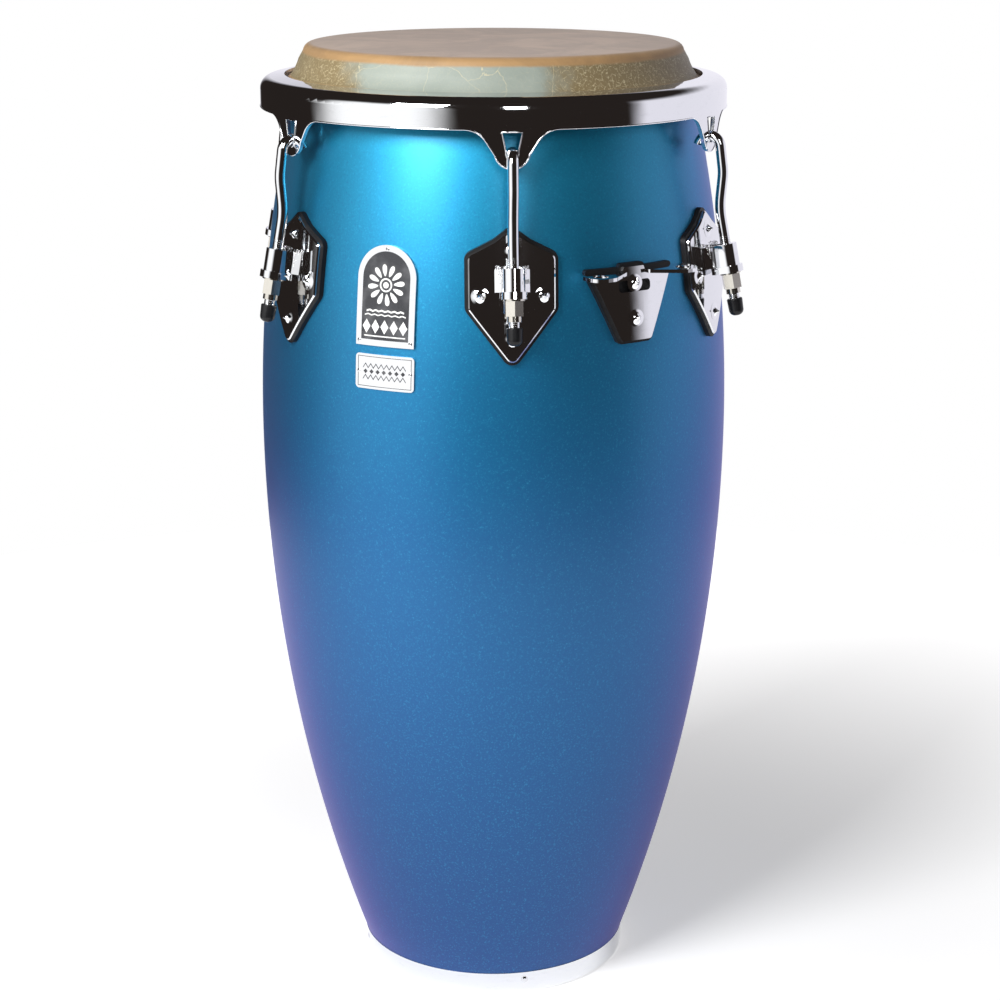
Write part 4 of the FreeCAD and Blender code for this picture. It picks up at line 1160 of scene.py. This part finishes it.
@dataclass
class Inlay:
    """Thin shapes laid on a curved plate: each outline becomes a low solid that follows the shell."""

    barrel: Barrel
    azimuth: float
    outward: float
    rise: float = 0.12 * MM
    step: float = 2.5 * MM

    def lay(self, work: bmesh.types.BMesh, outline: Sequence[Point]) -> None:
        """Add one outline, as (sideways, height) corners in order, to a mesh that is still flat."""
        corners = [work.verts.new((0.0, side, up)) for side, up in outline]
        work.faces.new(corners)

    def make(self, name: str, outlines: Sequence[Sequence[Point]], coating: Coating) -> bpy.types.Object:
        """Return the outlines as one piece.

        Args:
            name: the name of the object.
            outlines: closed outlines as (sideways, height) corners.
            coating: its finish.

        Returns:
            The inlay, wrapped on the shell.
        """
        work = bmesh.new()
        for outline in outlines:
            self.lay(work, outline)
        bmesh.ops.triangulate(work, faces=work.faces[:])
        for _ in range(6):
            wide = [edge for edge in work.edges if edge.calc_length() > self.step]
            if not wide:
                break
            bmesh.ops.subdivide_edges(work, edges=wide, cuts=1)
            bmesh.ops.triangulate(work, faces=[face for face in work.faces if len(face.verts) > 3])
        raised = bmesh.ops.extrude_face_region(work, geom=work.faces[:], use_keep_orig=True)
        for item in raised["geom"]:
            if isinstance(item, bmesh.types.BMVert):
                item.co.x = self.rise
        for vertex in work.verts:
            lift, side, up = vertex.co
            vertex.co = self.barrel.wrap(self.azimuth, side, up, self.outward + lift)
        mesh = bpy.data.meshes.new(name)
        work.to_mesh(mesh)
        work.free()
        return finish_piece(name, mesh, [coating], crease=30.0)


def ring_outline(centre: Point, inner: float, outer: float, steps: int) -> list[list[Point]]:
    """Return a flat ring as short quads.

    Args:
        centre: the ring's centre.
        inner: its inner radius.
        outer: its outer radius.
        steps: how many quads it has.

    Returns:
        The quads as outlines.
    """
    quads = []
    for step in range(steps):
        a, b = step / steps * math.tau, (step + 1) / steps * math.tau
        quads.append([
            (centre[0] + inner * math.cos(a), centre[1] + inner * math.sin(a)),
            (centre[0] + outer * math.cos(a), centre[1] + outer * math.sin(a)),
            (centre[0] + outer * math.cos(b), centre[1] + outer * math.sin(b)),
            (centre[0] + inner * math.cos(b), centre[1] + inner * math.sin(b)),
        ])
    return quads


def stripe(points: Sequence[Point], width: float) -> list[list[Point]]:
    """Return a stripe of even height along a path, as one quad for each run.

    Args:
        points: the path.
        width: the height of the stripe.

    Returns:
        The quads as outlines.
    """
    half = width / 2
    return [
        [(a[0], a[1] - half), (b[0], b[1] - half), (b[0], b[1] + half), (a[0], a[1] + half)]
        for a, b in zip(points, points[1:])
    ]


def diamond(centre: Point, width: float, height: float) -> list[Point]:
    """Return a diamond.

    Args:
        centre: its middle.
        width: its width.
        height: its height.

    Returns:
        Its four corners.
    """
    return [
        (centre[0] - width / 2, centre[1]), (centre[0], centre[1] - height / 2),
        (centre[0] + width / 2, centre[1]), (centre[0], centre[1] + height / 2),
    ]


@dataclass
class Badges:
    """Enamel motif on the arched badge and the border and zigzag on the name plate. The motif is made up."""

    barrel: Barrel
    azimuth: float = -30.0
    badge_base: float = 554.5 * MM
    panel_rise: float = 2.1 * MM
    flower_height: float = 45.0 * MM
    petals: int = 12
    petal_inner: float = 6.4 * MM
    petal_outer: float = 15.2 * MM
    petal_width: float = 4.9 * MM
    name_base: float = 522.0 * MM
    name_height: float = 26.0 * MM
    name_half: float = 24.3 * MM
    name_rise: float = 1.5 * MM

    def petal(self, angle: float, centre: Point) -> list[Point]:
        """Return one pointed petal of the flower.

        Args:
            angle: the direction that it points in, in radians.
            centre: the middle of the flower.

        Returns:
            Its outline.
        """
        steps = 7
        middle = (self.petal_inner + self.petal_outer) / 2
        half = (self.petal_outer - self.petal_inner) / 2
        rim = []
        for step in range(2 * steps):
            t = step / steps * math.pi
            along = middle + half * math.cos(t)
            aside = self.petal_width / 2 * math.sin(t) * (0.72 + 0.28 * math.cos(t))
            rim.append((
                centre[0] + along * math.cos(angle) - aside * math.sin(angle),
                centre[1] + along * math.sin(angle) + aside * math.cos(angle),
            ))
        return rim

    def flower(self) -> list[list[Point]]:
        """Return the motif's flower, its rings and the bands below it.

        Returns:
            The outlines.
        """
        centre = (0.0, self.badge_base + self.flower_height)
        shapes = [self.petal(n / self.petals * math.tau + 0.13, centre) for n in range(self.petals)]
        shapes += ring_outline(centre, 0.0005 * MM, 2.3 * MM, 20)
        shapes += ring_outline(centre, 3.9 * MM, 5.1 * MM, 28)
        for level, reach, width in ((25.4, 15.5, 1.3), (22.4, 17.0, 0.9)):
            count = 12
            wave = [
                (reach * MM * (2 * n / count - 1), self.badge_base + (level + 0.9 * (n % 2)) * MM)
                for n in range(count + 1)
            ]
            shapes += stripe(wave, width * MM)
        row, foot = self.badge_base + 14.2 * MM, self.badge_base + 7.2 * MM
        shapes += [diamond((n * 7.6 * MM, row), 6.6 * MM, 10.4 * MM) for n in range(-2, 3)]
        shapes += stripe([(-17.0 * MM, foot), (17.0 * MM, foot)], 0.9 * MM)
        return shapes

    def name_shapes(self) -> list[list[Point]]:
        """Return the name plate's border and zigzag.

        Returns:
            The outlines.
        """
        left, right = -self.name_half + 2.0 * MM, self.name_half - 2.0 * MM
        low, high = self.name_base + 2.0 * MM, self.name_base + self.name_height - 2.0 * MM
        line = 0.45 * MM
        shapes = stripe([(left, low), (right, low)], line) + stripe([(left, high), (right, high)], line)
        for side in (left, right - line):
            shapes.append([(side, low), (side + line, low), (side + line, high), (side, high)])
        middle = (low + high) / 2
        teeth = 16
        for offset in (4.2, -4.2):
            zigzag = [
                (0.80 * (left + (right - left) * n / teeth),
                 middle + (offset + (1.6 if n % 2 else -1.6)) * MM)
                for n in range(teeth + 1)
            ]
            shapes += stripe(zigzag, 1.0 * MM)
        shapes += [diamond((n * 5.2 * MM, middle), 3.6 * MM, 3.6 * MM) for n in range(-3, 4)]
        return shapes

    def build(self) -> None:
        """Build both inlays."""
        badge = Inlay(self.barrel, self.azimuth, self.panel_rise)
        show(badge.make("badge_motif", self.flower(), Coating.WHITE), "drum", "enamel")
        name = Inlay(self.barrel, self.azimuth, self.name_rise, 0.06 * MM)
        show(name.make("name_plate_motif", self.name_shapes(), Coating.BLACK), "drum", "enamel")


@dataclass
class Hardware:
    """Finishes of the metal and rubber parts that keep their CAD shapes."""

    coatings: tuple[tuple[str, Coating], ...] = (
        ("shell", Coating.PAINT),
        ("foot_ring_screws", Coating.SCREW),
        ("foot_ring", Coating.DARK_CHROME),
        ("flesh_ring", Coating.STEEL),
        ("tension_hoop", Coating.CHROME),
        ("tension_hook", Coating.CHROME),
        ("hook_cap", Coating.CAP),
        ("tuning_nut", Coating.NICKEL),
        ("lug_gasket", Coating.RUBBER),
        ("bracket_gasket", Coating.RUBBER),
        ("lug_plate", Coating.DARK_CHROME),
        ("lug_strap", Coating.CHROME),
        ("strap_seats", Coating.CHROME),
        ("seat_washers", Coating.NICKEL),
        ("plate_bolts", Coating.CHROME),
        ("bracket_bolts", Coating.CHROME),
        ("bolt_washers", Coating.STEEL),
        ("bolt_nuts", Coating.STEEL),
        ("badge_plate", Coating.CHROME),
        ("badge_panel", Coating.BLACK),
        ("badge_pins", Coating.CHROME),
        ("name_plate", Coating.CHROME),
        ("side_bracket", Coating.CHROME),
        ("drumhead_skin", Coating.HIDE),
        ("skin_collar", Coating.HIDE),
    )

    def dress(self) -> None:
        """Give every CAD node its finish."""
        for name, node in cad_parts.items():
            coating = next(c for prefix, c in self.coatings if name.startswith(prefix))
            for slot in node.material_slots:
                slot.material = Workshop.get(coating)
            log.info("%s: %s", name, coating.value.name)


# Studio ----------------------------------------------------------------------------------------


@dataclass(frozen=True)
class Softbox:
    """A rectangular studio light, given by where it stands from the drum and how large it is."""

    name: str
    azimuth: float
    elevation: float
    distance: float
    width: float
    height: float
    power: float
    aim: float = 0.42

    def place(self) -> None:
        """Set the light up."""
        data = bpy.data.lights.new(self.name, "AREA")
        data.shape = "RECTANGLE"
        data.size, data.size_y = self.width, self.height
        data.energy = self.power
        lamp = bpy.data.objects.new(self.name, data)
        bpy.context.scene.collection.objects.link(lamp)
        a, e = math.radians(self.azimuth), math.radians(self.elevation)
        back = Vector((math.sin(a) * math.cos(e), -math.cos(a) * math.cos(e), math.sin(e)))
        lamp.location = Vector((0, 0, self.aim)) + back * self.distance
        lamp.rotation_mode = "QUATERNION"
        lamp.rotation_quaternion = (-back).to_track_quat("-Z", "Y")


@dataclass
class Studio:
    """Pale floor, soft light and the camera."""

    boxes: tuple[Softbox, ...] = (
        Softbox("key_light", -41, 33, 2.3, 0.9, 0.9, 58),
        Softbox("front_light", 6, 24, 2.6, 0.45, 0.9, 7),
    )
    camera_place: tuple[float, float, float] = (-0.1356, -1.8460, 0.9085)
    camera_azimuth: float = -4.2
    camera_pitch: float = 15.616
    lens: float = 84.23
    shift: float = 0.0065
    floor_radius: float = 1.3
    gloom: Colour = (0.022, 0.017, 0.015, 1.0)
    backdrop: Colour = (0.92, 0.90, 0.98, 1.0)
    panel: Colour = (1.25, 1.25, 1.25, 1.0)

    def light(self) -> None:
        """Set the lights up and fill the room with a soft glow."""
        for box in self.boxes:
            box.place()
        world = bpy.data.worlds.new("studio")
        world.use_nodes = True
        world.node_tree.nodes.clear()
        graph = Graph(world.node_tree)
        right, ahead, up = graph.axes(graph.node("ShaderNodeTexCoord", output="Generated"))
        backdrop = (right * 0.788 + ahead * 0.616).over(0.42, 0.62) * up.over(0.60, 0.30)
        panel = (right * -0.883 - ahead * 0.469).over(0.74, 0.96) * up.over(0.65, 0.35)
        room = graph.mixed(backdrop, self.gloom, self.backdrop)
        room = graph.mixed(panel, room, self.panel)
        seen = graph.node("ShaderNodeLightPath", output="Is Camera Ray")
        colour = graph.mixed(seen, room, grey(1.0))
        glow = graph.node("ShaderNodeBackground", None, {"Color": colour, "Strength": 1.0})
        graph.add("ShaderNodeOutputWorld", None, {"Surface": glow})
        bpy.context.scene.world = world

    def lay_floor(self) -> None:
        """Lay the round floor."""
        rim = [(self.floor_radius * math.cos(a), self.floor_radius * math.sin(a), 0.0)
               for a in (step / 96 * math.tau for step in range(96))]
        new_piece("studio_floor", rim, [tuple(range(len(rim)))], [Coating.FLOOR])

    def set_camera(self) -> None:
        """Set the camera up."""
        data = bpy.data.cameras.new("camera")
        data.lens = self.lens
        data.sensor_width = 36.0
        data.shift_x = self.shift
        camera = bpy.data.objects.new("camera", data)
        bpy.context.scene.collection.objects.link(camera)
        a, p = math.radians(self.camera_azimuth), math.radians(self.camera_pitch)
        ahead = Vector((-math.sin(a) * math.cos(p), math.cos(a) * math.cos(p), -math.sin(p)))
        camera.location = self.camera_place
        camera.rotation_mode = "QUATERNION"
        camera.rotation_quaternion = ahead.to_track_quat("-Z", "Y")
        bpy.context.scene.camera = camera

    def build(self) -> None:
        """Set the whole studio up."""
        bpy.context.scene.view_settings.view_transform = "Standard"
        self.lay_floor()
        self.light()
        self.set_camera()
        log.info("studio: %d lights", len(self.boxes))


def corners(box: tuple[Vector, Vector]) -> list[list[float]]:
    """Return a box's corners as plain lists."""
    return [list(corner) for corner in box]


def main() -> None:
    """Dress the frame, build the drum's pieces in order and set the studio up."""
    logging.basicConfig(level=logging.INFO, format="%(name)s %(message)s")
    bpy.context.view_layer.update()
    Hardware().dress()
    barrel = Barrel()
    barrel.build()
    Skin(barrel).build()
    Lug(barrel).build()
    RolledEdge().build()
    Badges(barrel).build()
    Studio().build()


if __name__ == "__main__":
    main()
